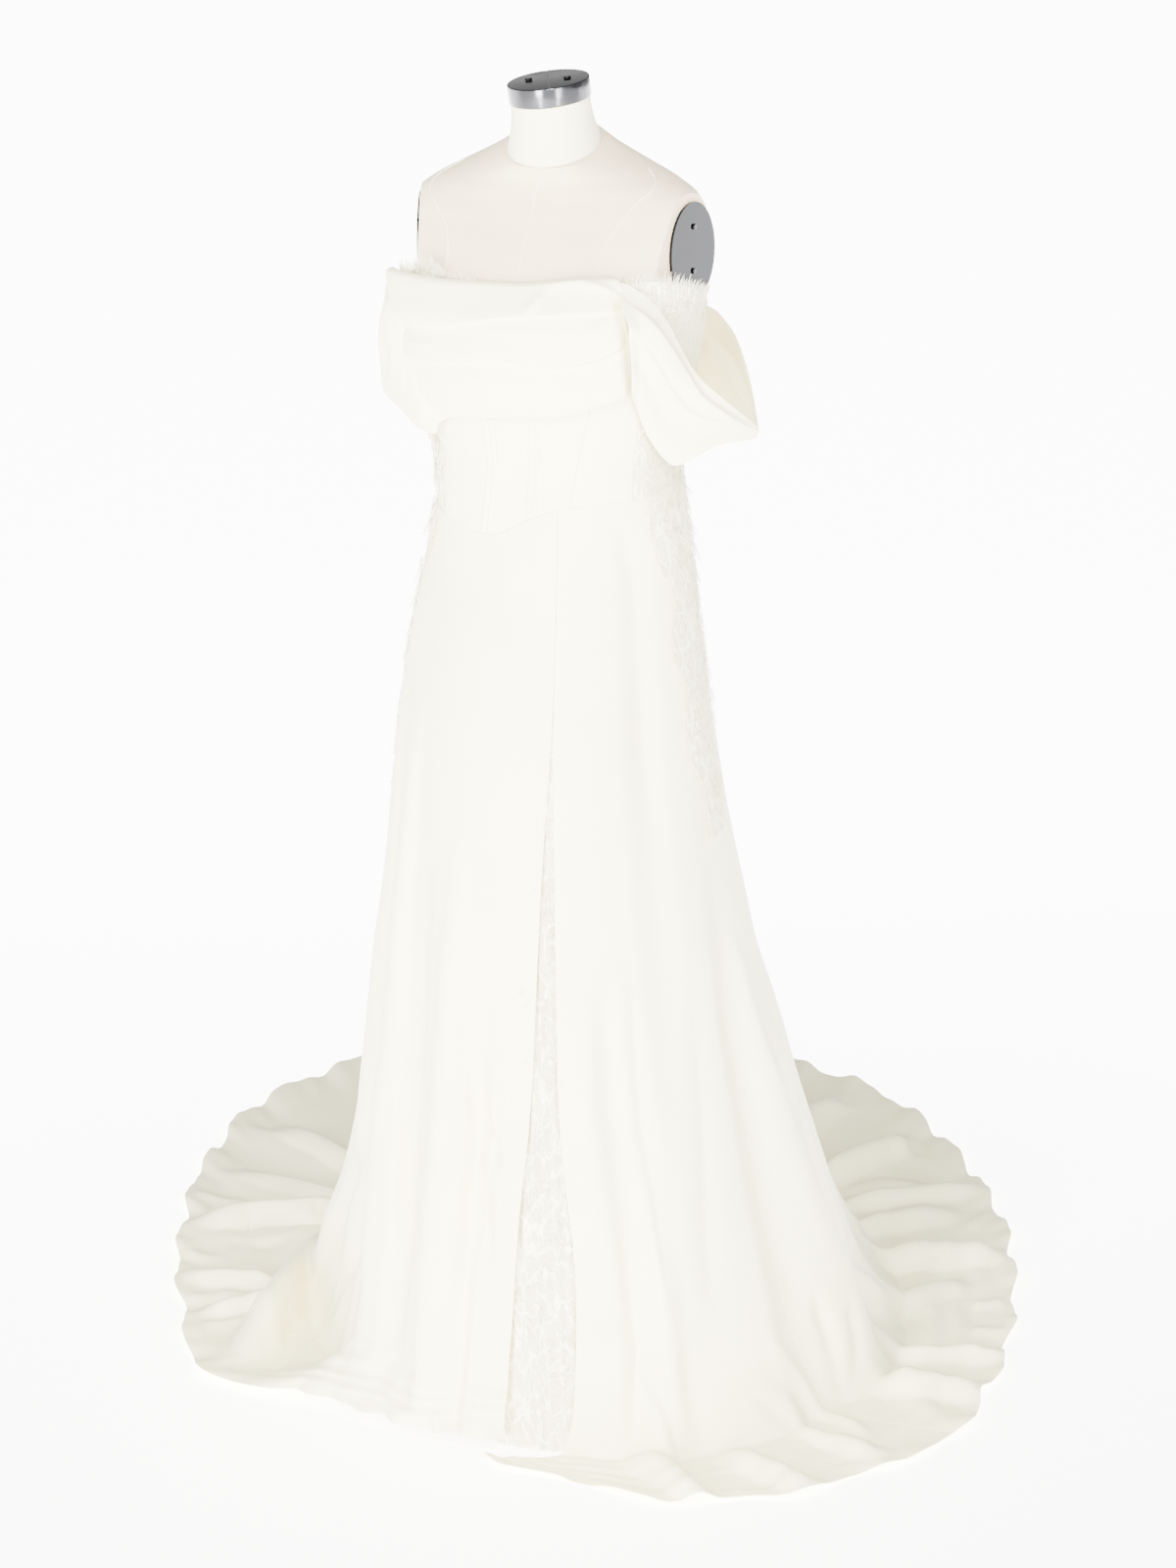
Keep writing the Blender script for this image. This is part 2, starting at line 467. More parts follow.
def follow(knots, values, places):
    """Read the smooth curve through the knots at the places.

    values holds one column shared by all places, or one column for each place.
    """
    knots = np.asarray(knots, float)
    values = np.asarray(values, float)
    places = np.asarray(places, float)
    slopes = knot_slopes(knots, values)
    span = np.clip(np.searchsorted(knots, places, side="right") - 1, 0, len(knots) - 2)
    width = knots[span + 1] - knots[span]
    t = np.clip((places - knots[span]) / width, 0.0, 1.0)
    if values.ndim > 1:
        column = np.arange(len(places))
        low, high = values[span, column], values[span + 1, column]
        slope_low, slope_high = slopes[span, column], slopes[span + 1, column]
    else:
        low, high = values[span], values[span + 1]
        slope_low, slope_high = slopes[span], slopes[span + 1]
    return (low * (1.0 + 2.0 * t) * (1.0 - t) ** 2 + slope_low * width * t * (1.0 - t) ** 2
            + high * t * t * (3.0 - 2.0 * t) + slope_high * width * t * t * (t - 1.0))


def table_column(table, column, places):
    """Smooth value of one column of a table whose first column is the place."""
    rows = np.array(table, float)
    return follow(rows[:, 0], rows[:, column], places)


def ease(low, high, value):
    """0 below low, 1 above high, smooth between."""
    t = np.clip((np.asarray(value, float) - low) / (high - low), 0.0, 1.0)
    return t * t * (3.0 - 2.0 * t)


def bell(distance):
    """1 at 0, smoothly down to 0 at 1."""
    return np.cos(np.clip(np.abs(distance), 0.0, 1.0) * math.pi / 2.0) ** 2


def unit(vectors):
    return vectors / np.linalg.norm(vectors, axis=-1, keepdims=True)


def polar(azimuth, radius, centre_y, height):
    """Points at an azimuth and radius about the axis through (0, centre y)."""
    angle = np.radians(azimuth)
    return np.stack((radius * np.sin(angle), centre_y - radius * np.cos(angle),
                     np.broadcast_to(height, angle.shape)), axis=-1)


def torso_size(height):
    """Half width, half depth and centre y of the torso at a height."""
    return tuple(table_column(TORSO_RINGS, column, height) for column in (1, 2, 3))


def torso_radius(azimuth, height):
    """Distance of the torso's surface from the axis of its ring."""
    half_width, half_depth, _ = torso_size(height)
    angle = np.radians(azimuth)
    across = np.abs(np.sin(angle) / half_width) ** SECTION_POWER
    along = np.abs(np.cos(angle) / half_depth) ** SECTION_POWER
    return (across + along) ** (-1.0 / SECTION_POWER)


def body_point(azimuth, height, reach):
    """Point at a reach outside the torso."""
    azimuth = np.asarray(azimuth, float)
    height = np.broadcast_to(np.asarray(height, float), azimuth.shape)
    _, _, centre_y = torso_size(height)
    return polar(azimuth, torso_radius(azimuth, height) + reach, centre_y, height)


def one_point(azimuth, height, reach):
    """Single point at a reach outside the torso."""
    return body_point(np.array([azimuth]), height, reach)[0]


def one(function, *places):
    """Value of a function of arrays at a single place."""
    return function(*(np.array([place]) for place in places))[0]


def directions(azimuth):
    """Outward and sideways unit vectors at an azimuth."""
    angle = math.radians(azimuth)
    return Vector((math.sin(angle), -math.cos(angle), 0.0)), Vector((math.cos(angle), math.sin(angle), 0.0))


def plate_frame(side):
    """Frame of one armhole plate: +Z out of the plate, +Y up."""
    x, y, z = PLATE_CENTRE
    turn = math.radians(PLATE_TURN)
    outward = Vector((side * math.cos(turn), -math.sin(turn), 0.0))
    upward = Vector((0.0, 0.0, 1.0))
    across = upward.cross(outward)
    frame = Matrix((across, upward, outward)).transposed().to_4x4()
    frame.translation = Vector((side * x, y, z))
    return frame


def cap_frame():
    """Frame of the neck's top: +Z along the neck."""
    forward, sideways = (math.radians(angle) for angle in CAP_TILT)
    frame = Euler((forward, sideways, 0.0)).to_matrix().to_4x4()
    frame.translation = Vector(NECK_TOP)
    return frame


def neckline(azimuth):
    return table_column(BODICE_EDGES, 1, azimuth)


def basque(azimuth):
    return table_column(BODICE_EDGES, 2, azimuth)


def bodice_reach(extra=0.0):
    """Reach of the bodice's outer face from the torso."""
    return BODICE_CLEARANCE + WALL + extra


def seam_azimuth(seam, share):
    low, high = BODICE_SEAMS[seam]
    return low + (high - low) * (1.0 - (1.0 - share) ** 2)


def band_height(azimuth, down):
    """Height of the band at a place down its folds."""
    azimuth = np.atleast_1d(azimuth)
    first = min(int(down), 2)
    above = table_column(BAND_LINES, 1 + first, azimuth)
    below = table_column(BAND_LINES, 2 + first, azimuth)
    return above + (below - above) * (down - first)


def band_edge(corners, down):
    """Azimuth of a slanting end of the band, found from its height."""
    high, high_z, low, low_z = corners
    azimuth = high + (low - high) * down / 3.0
    for _ in range(4):
        share = (high_z - band_height(azimuth, down)[0]) / (high_z - low_z)
        azimuth = high + (low - high) * share
    return azimuth


def swag_rib(table, place, down, at_back=0.0):
    """Point of a swag at a place along its ribs and a share of the way down."""
    rows = np.array(table, float)
    knots = np.linspace(0.0, 1.0, len(rows))
    values = [follow(knots, rows[:, column], np.array([place]))[0] for column in range(6)]
    top_azimuth, top_reach, top_height, low_azimuth, low_reach, low_height = values
    azimuth = top_azimuth + (low_azimuth - top_azimuth) * down
    height = top_height + (low_height - top_height) * down
    tall = (top_height - low_height) / 0.134
    pleat = SWAG_PLEAT_DEPTH * ease(0.0, SWAG_PLEAT_AT, down) * (1.0 - ease(
        SWAG_PLEAT_AT, SWAG_PLEAT_AT + 0.12, down))
    bulge = SWAG_BULGE * math.sin(math.pi * down)
    seated = 1.0 - ease(0.72, 0.88, place) * at_back
    reach = top_reach + (low_reach - top_reach) * down + (pleat + bulge) * tall * seated
    return one_point(azimuth, height, bodice_reach(reach))


def lane_azimuth(lane, level):
    """World azimuth of a lane at a level, turned aside near the slit."""
    left = follow(LEVELS, np.array(SWING_LEFT_EDGE), level)
    right = follow(LEVELS, np.array(SWING_RIGHT_EDGE), level)
    near_left = 1.0 - ease(0.0, SWING_FADE, lane - SLIT_LANE)
    near_right = 1.0 - ease(0.0, SWING_FADE, SLIT_LANE + 360.0 - lane)
    return lane + left * near_left + right * near_right


def hem_run():
    """Distance along the hem at each whole lane, for ripples of an even length."""
    lanes = np.arange(SLIT_LANE, SLIT_LANE + 361.0)
    radius = table_column(HEM_RADII, 1, lanes)
    points = polar(lanes, radius, 0.0, 0.0)
    steps = np.linalg.norm(np.diff(points, axis=0), axis=1)
    return lanes, np.concatenate(((0.0,), np.cumsum(steps)))


def skirt_base(lane, level):
    """Azimuth, radius and height of the skirt before its folds."""
    azimuth = lane_azimuth(lane, level)
    top = basque(((azimuth + 180.0) % 360.0) - 180.0) - BASQUE_GAP
    waist = torso_radius(azimuth, top) + bodice_reach()
    hanging = table_column(SKIRT_RADII, 7, lane)
    run = np.interp(lane, *HEM_RUN)
    ripple = np.sin(2.0 * math.pi * run / RIPPLE_LENGTH) * (1.0 - hanging)
    radii = [waist] + [table_column(SKIRT_RADII, column, lane) for column in range(1, 7)]
    radii.append(table_column(HEM_RADII, 1, lane) + RIPPLE_OUT * ripple)
    heights = [top]
    for laid, hung in zip(LAID_HEIGHTS, HANGING_HEIGHTS):
        heights.append(laid + (hung - laid) * hanging)
    radii = np.array(radii)
    heights = np.array(heights)
    lift = RIPPLE_UP * (0.5 + 0.5 * ripple) * ease(0.86, 1.0, level) * (1.0 - hanging)
    return azimuth, follow(LEVELS, radii, level), follow(LEVELS, heights, level) + lift


def floor_fold_height(points, level):
    """Height of the raised folds over the cloth that lies on the floor."""
    total = np.zeros(len(points))
    for first, first_radius, last, last_radius, half_width, height in FLOOR_FOLDS:
        start = polar(np.array(first), np.array(first_radius), 0.0, 0.0)[:2]
        end = polar(np.array(last), np.array(last_radius), 0.0, 0.0)[:2]
        run = end - start
        share = ((points[:, :2] - start) @ run) / (run @ run)
        nearest = start + np.clip(share, 0.0, 1.0)[:, None] * run
        away = np.linalg.norm(points[:, :2] - nearest, axis=1) / half_width
        taper = ease(-0.15, 0.30, share) * (1.0 - ease(0.70, 1.10, share))
        total = np.maximum(total, height * bell(away) * taper)
    return total * ease(0.40, 0.56, level)


def skirt_point(lane, level):
    """Outer face of the skirt."""
    azimuth, radius, height = skirt_base(lane, level)
    fold = np.zeros(len(lane))
    for middle, half_width, reach, first, last in FALL_FOLDS:
        window = ease(first, first + 0.12, level) * (1.0 - ease(last - 0.10, last, level))
        fold = fold + reach * bell((lane - middle) / half_width) * window
    centre_y = torso_size(np.full(len(lane), SKIRT_CENTRE_FADES[1]))[2] * ease(
        *SKIRT_CENTRE_FADES, height)
    points = polar(azimuth, radius + fold, centre_y, height)
    points[:, 2] = np.maximum(points[:, 2] + floor_fold_height(points, level), WALL)
    return points


def skirt_frame(lane, level):
    """Outer point, outward normal and direction along the lanes' turn."""
    turn, drop = 0.4, 0.004
    around = skirt_point(lane + turn, level) - skirt_point(lane - turn, level)
    down = (skirt_point(lane, np.clip(level + drop, 0.0, 1.0))
            - skirt_point(lane, np.clip(level - drop, 0.0, 1.0)))
    return skirt_point(lane, level), unit(np.cross(down, around)), unit(around)


# Visual shells are thinner and finer than the solids
CLOTH_WALL = 0.0013
PANEL_GAP = 0.0003
# The lace inset reaches down nearly to the floor
INSET_HEM = 0.0030
SEAM_THREAD_LIFT = 0.0004
SEAM_THREAD_RADIUS = 0.0009
BODICE_RADIUS = 0.130
SWAG_LAP_FADES = 0.10
SWAG_RAISED_AT = 0.80
TUCKED_REACH = 0.004
# The lace trim stands up in a curl at one place on the wearer's right
CURL_AZIMUTH = -52.0
CURL_HALF_WIDTH = 12.0
# The form's steel is a little larger than its solids, as in the photograph
CAP_EXTRA_HEIGHT = 0.004
PLATE_EXTRA = 0.003
SCREW_HEIGHT = 0.0024
RIVET_HEAD = 0.0016
# Metres in one degree of lane and in one level, for telling a crease's two sides apart
SKIRT_STRETCH = (0.0035, 1.0)
# Factors that make a rough outward vector of a point, and the upward lean added on the skirt
OUTWARD = np.array((1.0, 1.0, 0.0))
UPWARD_LEAN = np.array((0.0, 0.0, 0.2))
LEAST_CREASE_WIDTH = 0.013

# Finishes. Colours are sRGB.
IVORY = (0.950, 0.925, 0.765)
IVORY_DEEP = (0.920, 0.890, 0.715)
LACE_THREAD = (0.985, 0.965, 0.850)
LACE_GROUND = (0.870, 0.838, 0.690)
LINEN = (0.845, 0.775, 0.645)
LINEN_DEEP = (0.800, 0.725, 0.595)
NECK_CLOTH = (0.935, 0.900, 0.775)
NECK_CLOTH_DEEP = (0.895, 0.855, 0.720)

# Seam threads on the form. azimuth, height
TORSO_SEAMS = {
    "torso_seam_front": ((-3.0, 1.556), (-3.0, 1.508), (-4.0, 1.455), (-4.0, 1.425)),
    "torso_seam_left": ((88.0, 1.547), (66.0, 1.522), (53.0, 1.492), (42.0, 1.454), (39.0, 1.428)),
    "torso_seam_right": ((-92.0, 1.547), (-76.0, 1.524), (-59.0, 1.492), (-49.0, 1.454), (-46.0, 1.428)),
    "torso_seam_back": ((180.0, 1.560), (180.0, 1.48), (180.0, 1.38)),
}

# place down the band in folds, outward reach from the bodice: each fold lies over the next one
BAND_PROFILE = ((0.00, 0.0070), (0.05, 0.0104), (0.14, 0.0118), (0.55, 0.0138), (0.90, 0.0158),
                (0.985, 0.0160), (1.008, 0.0122), (1.05, 0.0112), (1.40, 0.0140), (1.90, 0.0186),
                (1.985, 0.0188), (2.008, 0.0148), (2.05, 0.0138), (2.45, 0.0172), (2.85, 0.0182),
                (2.97, 0.0172), (3.00, 0.0150))

# View of the photograph: 18 degrees to the wearer's left, from a little above the shoulders
VIEW_AZIMUTH = 18.0
VIEW_DISTANCE = 4.39
VIEW_HEIGHT = 2.09
VIEW_TARGET_HEIGHT = 0.784
VIEW_SHIFT = 0.04
VIEW_LENS = 84.67


def srgb(colour):
    return tuple(((c + 0.055) / 1.055) ** 2.4 if c > 0.04045 else c / 12.92 for c in colour) + (1.0,)


def remove_all():
    for item in list(bpy.data.objects):
        bpy.data.objects.remove(item, do_unlink=True)


def link(item):
    bpy.context.scene.collection.objects.link(item)
    return item


# Shader groups


def new_group(name, inputs, outputs):
    """Empty shader group with named sockets, its tree, input node and output node."""
    tree = bpy.data.node_groups.new(name, "ShaderNodeTree")
    for label, kind, value in inputs:
        socket = tree.interface.new_socket(label, in_out="INPUT", socket_type="NodeSocket" + kind)
        socket.default_value = value
    for label, kind in outputs:
        tree.interface.new_socket(label, in_out="OUTPUT", socket_type="NodeSocket" + kind)
    return tree, tree.nodes.new("NodeGroupInput"), tree.nodes.new("NodeGroupOutput")


def set_inputs(made, values):
    """Set the values of a node's unlinked inputs."""
    for key, value in values.items():
        made.inputs[key].default_value = value


def node(tree, kind, values=None, **settings):
    """New node of a kind, a shader node where the kind's name is short."""
    made = tree.nodes.new(kind if "Node" in kind else "ShaderNode" + kind)
    for key, value in settings.items():
        setattr(made, key, value)
    set_inputs(made, values or {})
    return made


def join(source, output, target, field):
    """Link one node's output to another node's input."""
    source.id_data.links.new(source.outputs[output], target.inputs[field])


def woven_group():
    """Plain woven cloth: a fine weave, soft handling creases and a faint mottle."""
    tree, source, result = new_group(
        "woven_cloth",
        (("Colour", "Color", (1, 1, 1, 1)), ("Deep colour", "Color", (1, 1, 1, 1)),
         ("Threads per metre", "Float", 900.0), ("Weave depth", "Float", 0.2),
         ("Crease depth", "Float", 0.2), ("Roughness", "Float", 0.6)),
        (("Colour", "Color"), ("Roughness", "Float"), ("Normal", "Vector")))
    place = node(tree, "TexCoord")
    mottle = node(tree, "TexNoise", {"Scale": 11.0, "Detail": 3.0, "Roughness": 0.5})
    join(place, "Object", mottle, "Vector")
    amount = node(tree, "MapRange", {"From Min": 0.42, "From Max": 0.68, "To Min": 0.0, "To Max": 0.35})
    join(mottle, "Fac", amount, "Value")
    blend = node(tree, "Mix", data_type="RGBA")
    join(amount, "Result", blend, "Factor")
    join(source, "Colour", blend, "A")
    join(source, "Deep colour", blend, "B")
    join(blend, "Result", result, "Colour")
    warp = node(tree, "VectorMath", {1: (1.0, 1.0, 0.35)}, operation="MULTIPLY")
    weft = node(tree, "VectorMath", {1: (0.35, 0.35, 1.0)}, operation="MULTIPLY")
    threads = []
    for stretch in (warp, weft):
        join(place, "Object", stretch, 0)
        thread = node(tree, "TexNoise", {"Detail": 1.0, "Roughness": 0.4})
        join(stretch, "Vector", thread, "Vector")
        join(source, "Threads per metre", thread, "Scale")
        threads.append(thread)
    weave = node(tree, "Math", operation="ADD")
    join(threads[0], "Fac", weave, 0)
    join(threads[1], "Fac", weave, 1)
    crease = node(tree, "TexNoise", {"Scale": 26.0, "Detail": 4.0, "Roughness": 0.55, "Distortion": 0.6})
    join(place, "Object", crease, "Vector")
    soft = node(tree, "Bump", {"Distance": 0.004})
    join(source, "Crease depth", soft, "Strength")
    join(crease, "Fac", soft, "Height")
    fine = node(tree, "Bump", {"Distance": 0.0003})
    join(source, "Weave depth", fine, "Strength")
    join(weave, "Value", fine, "Height")
    join(soft, "Normal", fine, "Normal")
    join(fine, "Normal", result, "Normal")
    spread = node(tree, "MapRange", {"From Min": 0.3, "From Max": 0.7, "To Min": -0.06, "To Max": 0.06})
    join(crease, "Fac", spread, "Value")
    rough = node(tree, "Math", operation="ADD")
    join(source, "Roughness", rough, 0)
    join(spread, "Result", rough, 1)
    join(rough, "Value", result, "Roughness")
    return tree


def lace_group():
    """Embroidered lace: wandering stems and fine strands, raised over a plain ground."""
    tree, source, result = new_group(
        "vine_lace",
        (("Colour", "Color", (1, 1, 1, 1)), ("Ground colour", "Color", (1, 1, 1, 1)),
         ("Motifs per metre", "Float", 60.0), ("Depth", "Float", 0.6)),
        (("Colour", "Color"), ("Normal", "Vector")))
    place = node(tree, "TexCoord")
    squeeze = node(tree, "VectorMath", {1: (1.0, 1.0, 0.45)}, operation="MULTIPLY")
    join(place, "Object", squeeze, 0)
    wander = node(tree, "TexNoise", {"Scale": 55.0, "Detail": 3.0})
    join(squeeze, "Vector", wander, "Vector")
    push = node(tree, "VectorMath", {"Scale": 0.022}, operation="SCALE")
    join(wander, "Color", push, 0)
    moved = node(tree, "VectorMath", operation="ADD")
    join(squeeze, "Vector", moved, 0)
    join(push, "Vector", moved, 1)
    cells = node(tree, "TexVoronoi", {"Randomness": 1.0}, feature="DISTANCE_TO_EDGE")
    join(moved, "Vector", cells, "Vector")
    join(source, "Motifs per metre", cells, "Scale")
    stem = node(tree, "MapRange", {"From Min": 0.03, "From Max": 0.11, "To Min": 1.0, "To Max": 0.0})
    join(cells, "Distance", stem, "Value")
    bands = node(tree, "TexWave", {"Distortion": 9.0, "Detail": 3.0, "Detail Scale": 2.0},
                 bands_direction="DIAGONAL")
    join(moved, "Vector", bands, "Vector")
    finer = node(tree, "Math", {1: 1.6}, operation="MULTIPLY")
    join(source, "Motifs per metre", finer, 0)
    join(finer, "Value", bands, "Scale")
    strand = node(tree, "MapRange", {"From Min": 0.55, "From Max": 0.95, "To Min": 0.0, "To Max": 0.8})
    join(bands, "Fac", strand, "Value")
    motif = node(tree, "Math", operation="MAXIMUM")
    join(stem, "Result", motif, 0)
    join(strand, "Result", motif, 1)
    shade = node(tree, "Mix", data_type="RGBA")
    join(motif, "Value", shade, "Factor")
    join(source, "Ground colour", shade, "A")
    join(source, "Colour", shade, "B")
    join(shade, "Result", result, "Colour")
    rise = node(tree, "Bump", {"Distance": 0.0012})
    join(source, "Depth", rise, "Strength")
    join(motif, "Value", rise, "Height")
    net = node(tree, "TexVoronoi", {"Scale": 900.0, "Randomness": 0.25}, feature="DISTANCE_TO_EDGE")
    join(place, "Object", net, "Vector")
    thread = node(tree, "Bump", {"Distance": 0.0004, "Strength": 0.4}, invert=True)
    join(net, "Distance", thread, "Height")
    join(rise, "Normal", thread, "Normal")
    join(thread, "Normal", result, "Normal")
    return tree


def steel_group():
    """Brushed or polished steel: streaks along the brushing, and smears."""
    tree, source, result = new_group(
        "worked_steel",
        (("Roughness", "Float", 0.3), ("Brushing", "Float", 0.3)),
        (("Roughness", "Float"), ("Normal", "Vector")))
    place = node(tree, "TexCoord")
    stretch = node(tree, "VectorMath", {1: (6.0, 6.0, 900.0)}, operation="MULTIPLY")
    join(place, "Object", stretch, 0)
    streak = node(tree, "TexNoise", {"Scale": 1.0, "Detail": 3.0})
    join(stretch, "Vector", streak, "Vector")
    smear = node(tree, "TexNoise", {"Scale": 45.0, "Detail": 3.0})
    join(place, "Object", smear, "Vector")
    spread = node(tree, "MapRange", {"From Min": 0.35, "From Max": 0.7, "To Min": -0.04, "To Max": 0.08})
    join(smear, "Fac", spread, "Value")
    rough = node(tree, "Math", operation="ADD")
    join(source, "Roughness", rough, 0)
    join(spread, "Result", rough, 1)
    join(rough, "Value", result, "Roughness")
    bump = node(tree, "Bump", {"Distance": 0.0001})
    join(source, "Brushing", bump, "Strength")
    join(streak, "Fac", bump, "Height")
    join(bump, "Normal", result, "Normal")
    return tree


def new_material(name):
    material = bpy.data.materials.new(name)
    material.use_nodes = True
    tree = material.node_tree
    return material, tree, tree.nodes["Principled BSDF"]


def use_group(tree, group, values):
    made = tree.nodes.new("ShaderNodeGroup")
    made.node_tree = group
    set_inputs(made, values)
    return made


def cloth_material(name, colour, deep, threads, weave, crease, roughness, sheen):
    material, tree, shader = new_material(name)
    cloth = use_group(tree, GROUPS["woven"], {
        "Colour": srgb(colour), "Deep colour": srgb(deep), "Threads per metre": threads,
        "Weave depth": weave, "Crease depth": crease, "Roughness": roughness})
    join(cloth, "Colour", shader, "Base Color")
    join(cloth, "Roughness", shader, "Roughness")
    join(cloth, "Normal", shader, "Normal")
    set_inputs(shader, {"Sheen Weight": sheen, "Sheen Roughness": 0.45, "Specular IOR Level": 0.32})
    return material


def lace_material(name, ground, motifs, depth):
    material, tree, shader = new_material(name)
    lace = use_group(tree, GROUPS["lace"], {
        "Colour": srgb(LACE_THREAD), "Ground colour": srgb(ground), "Motifs per metre": motifs,
        "Depth": depth})
    join(lace, "Colour", shader, "Base Color")
    join(lace, "Normal", shader, "Normal")
    set_inputs(shader, {"Roughness": 0.72, "Specular IOR Level": 0.25})
    return material


def steel_material(name, colour, roughness, brushing):
    material, tree, shader = new_material(name)
    steel = use_group(tree, GROUPS["steel"], {"Roughness": roughness, "Brushing": brushing})
    join(steel, "Roughness", shader, "Roughness")
    join(steel, "Normal", shader, "Normal")
    set_inputs(shader, {"Base Color": srgb(colour), "Metallic": 1.0})
    return material


# Geometry


def mesh_object(name, bm):
    """Linked object from a bmesh, which is freed."""
    mesh = bpy.data.meshes.new(name)
    bm.to_mesh(mesh)
    bm.free()
    return link(bpy.data.objects.new(name, mesh))


def evaluated_mesh(item):
    """Mesh of an object with its modifiers or curve bevel applied."""
    bpy.context.view_layer.update()
    graph = bpy.context.evaluated_depsgraph_get()
    return bpy.data.meshes.new_from_object(item.evaluated_get(graph))


def finish_mesh(mesh, material, smooth_angle):
    """One material, smooth shading and sharp edges over an angle."""
    mesh.materials.clear()
    mesh.materials.append(material)
    mesh.shade_smooth()
    mesh.set_sharp_from_angle(angle=math.radians(smooth_angle))


def add_object(name, bm, material, smooth_angle=50.0):
    """Linked object from a closed bmesh, with its faces turned outwards."""
    bmesh.ops.recalc_face_normals(bm, faces=bm.faces[:])
    item = mesh_object(name, bm)
    finish_mesh(item.data, material, smooth_angle)
    return item


def add_faces(name, points, faces, material, smooth_angle):
    """Linked object from points and faces."""
    mesh = bpy.data.meshes.new(name)
    mesh.from_pydata(points, [], faces)
    bm = bmesh.new()
    bm.from_mesh(mesh)
    bpy.data.meshes.remove(mesh)
    return add_object(name, bm, material, smooth_angle)


def grid_faces(rows, columns, offset, flip):
    row, column = np.meshgrid(np.arange(rows), np.arange(columns), indexing="ij")
    a = (row * (columns + 1) + column + offset).ravel()
    quads = np.stack((a, a + 1, a + columns + 2, a + columns + 1), axis=1)
    return quads[:, ::-1] if flip else quads


def shell(name, outer, inner, material, smooth_angle=50.0):
    """Closed wall between two sheets of points, shaped (rows + 1, columns + 1, 3)."""
    rows, columns = outer.shape[0] - 1, outer.shape[1] - 1
    count = (rows + 1) * (columns + 1)
    border = [row * (columns + 1) for row in range(rows)]
    border += [rows * (columns + 1) + column for column in range(columns)]
    border += [row * (columns + 1) + columns for row in range(rows, 0, -1)]
    border += list(range(columns, 0, -1))
    border = np.array(border)
    following = np.roll(border, -1)
    rim = np.stack((border, following, following + count, border + count), axis=1)
    faces = np.concatenate((grid_faces(rows, columns, 0, False),
                            grid_faces(rows, columns, count, True), rim))
    points = np.concatenate((outer.reshape(-1, 3), inner.reshape(-1, 3)))
    return add_faces(name, points.tolist(), faces.tolist(), material, smooth_angle)


def empty_sheet(rows, columns):
    return np.empty((rows + 1, columns + 1, 3))


def sheet_normals(outer, lean=0.0):
    """Unit normals of a sheet of points, turned away from the axis; lean is added to that side."""
    along = np.gradient(outer, axis=1)
    down = np.gradient(outer, axis=0)
    normal = unit(np.cross(along, down))
    if (normal * (outer * OUTWARD + lean)).sum() < 0.0:
        normal = -normal
    return normal


def closed_loft(name, rings, material, smooth_angle=40.0):
    """Closed body through rings of points, shaped (rings, points, 3), with flat ends."""
    count, sides = rings.shape[:2]
    faces = []
    for ring in range(count - 1):
        for side in range(sides):
            after = (side + 1) % sides
            faces.append((ring * sides + side, ring * sides + after,
                          (ring + 1) * sides + after, (ring + 1) * sides + side))
    faces.append(tuple(range(sides)))
    faces.append(tuple(range((count - 1) * sides, count * sides)))
    return add_faces(name, rings.reshape(-1, 3).tolist(), faces, material, smooth_angle)


def drum(name, radius, height, material, matrix, bevel, segments):
    """Cylinder standing on its local origin, with both rims rounded."""
    bm = bmesh.new()
    bmesh.ops.create_cone(bm, cap_ends=True, segments=segments, radius1=radius, radius2=radius,
                          depth=height, matrix=Matrix.Translation((0.0, 0.0, height / 2.0)))
    rim = [edge for edge in bm.edges
           if abs(edge.verts[0].co.z - edge.verts[1].co.z) < 1e-7]
    bmesh.ops.bevel(bm, geom=rim, offset=bevel, segments=3, profile=0.5, affect="EDGES")
    bmesh.ops.transform(bm, matrix=matrix, verts=bm.verts[:])
    return add_object(name, bm, material, 35.0)


def subtract(item, cutter):
    """Cut a shape out of an object and drop the shape."""
    cut = item.modifiers.new("cut", "BOOLEAN")
    cut.operation = "DIFFERENCE"
    cut.solver = "EXACT"
    cut.object = cutter
    mesh = evaluated_mesh(item)
    item.modifiers.remove(cut)
    material = item.data.materials[0]
    item.data = mesh
    finish_mesh(mesh, material, 35.0)
    bpy.data.objects.remove(cutter, do_unlink=True)


def block(matrix):
    """Unit cube moved by a matrix, for cutting."""
    bm = bmesh.new()
    bmesh.ops.create_cube(bm, size=1.0, matrix=matrix)
    return mesh_object("cutter", bm)


def crease_tracks(creases, place_point, least_width=0.0):
    """Creases with their lines as fine runs of places and of points."""
    tracks = []
    for height, first_width, second_width, line in creases:
        first_width, second_width = max(first_width, least_width), max(second_width, least_width)
        line = np.array(line, float)
        knots = np.arange(len(line))
        fine = np.linspace(0, len(line) - 1, 6 * (len(line) - 1) + 1)
        path = np.stack([follow(knots, line[:, k], fine) for k in (0, 1)], axis=1)
        tracks.append((height, first_width, second_width, path, place_point(path[:, 0], path[:, 1])))
    return tracks


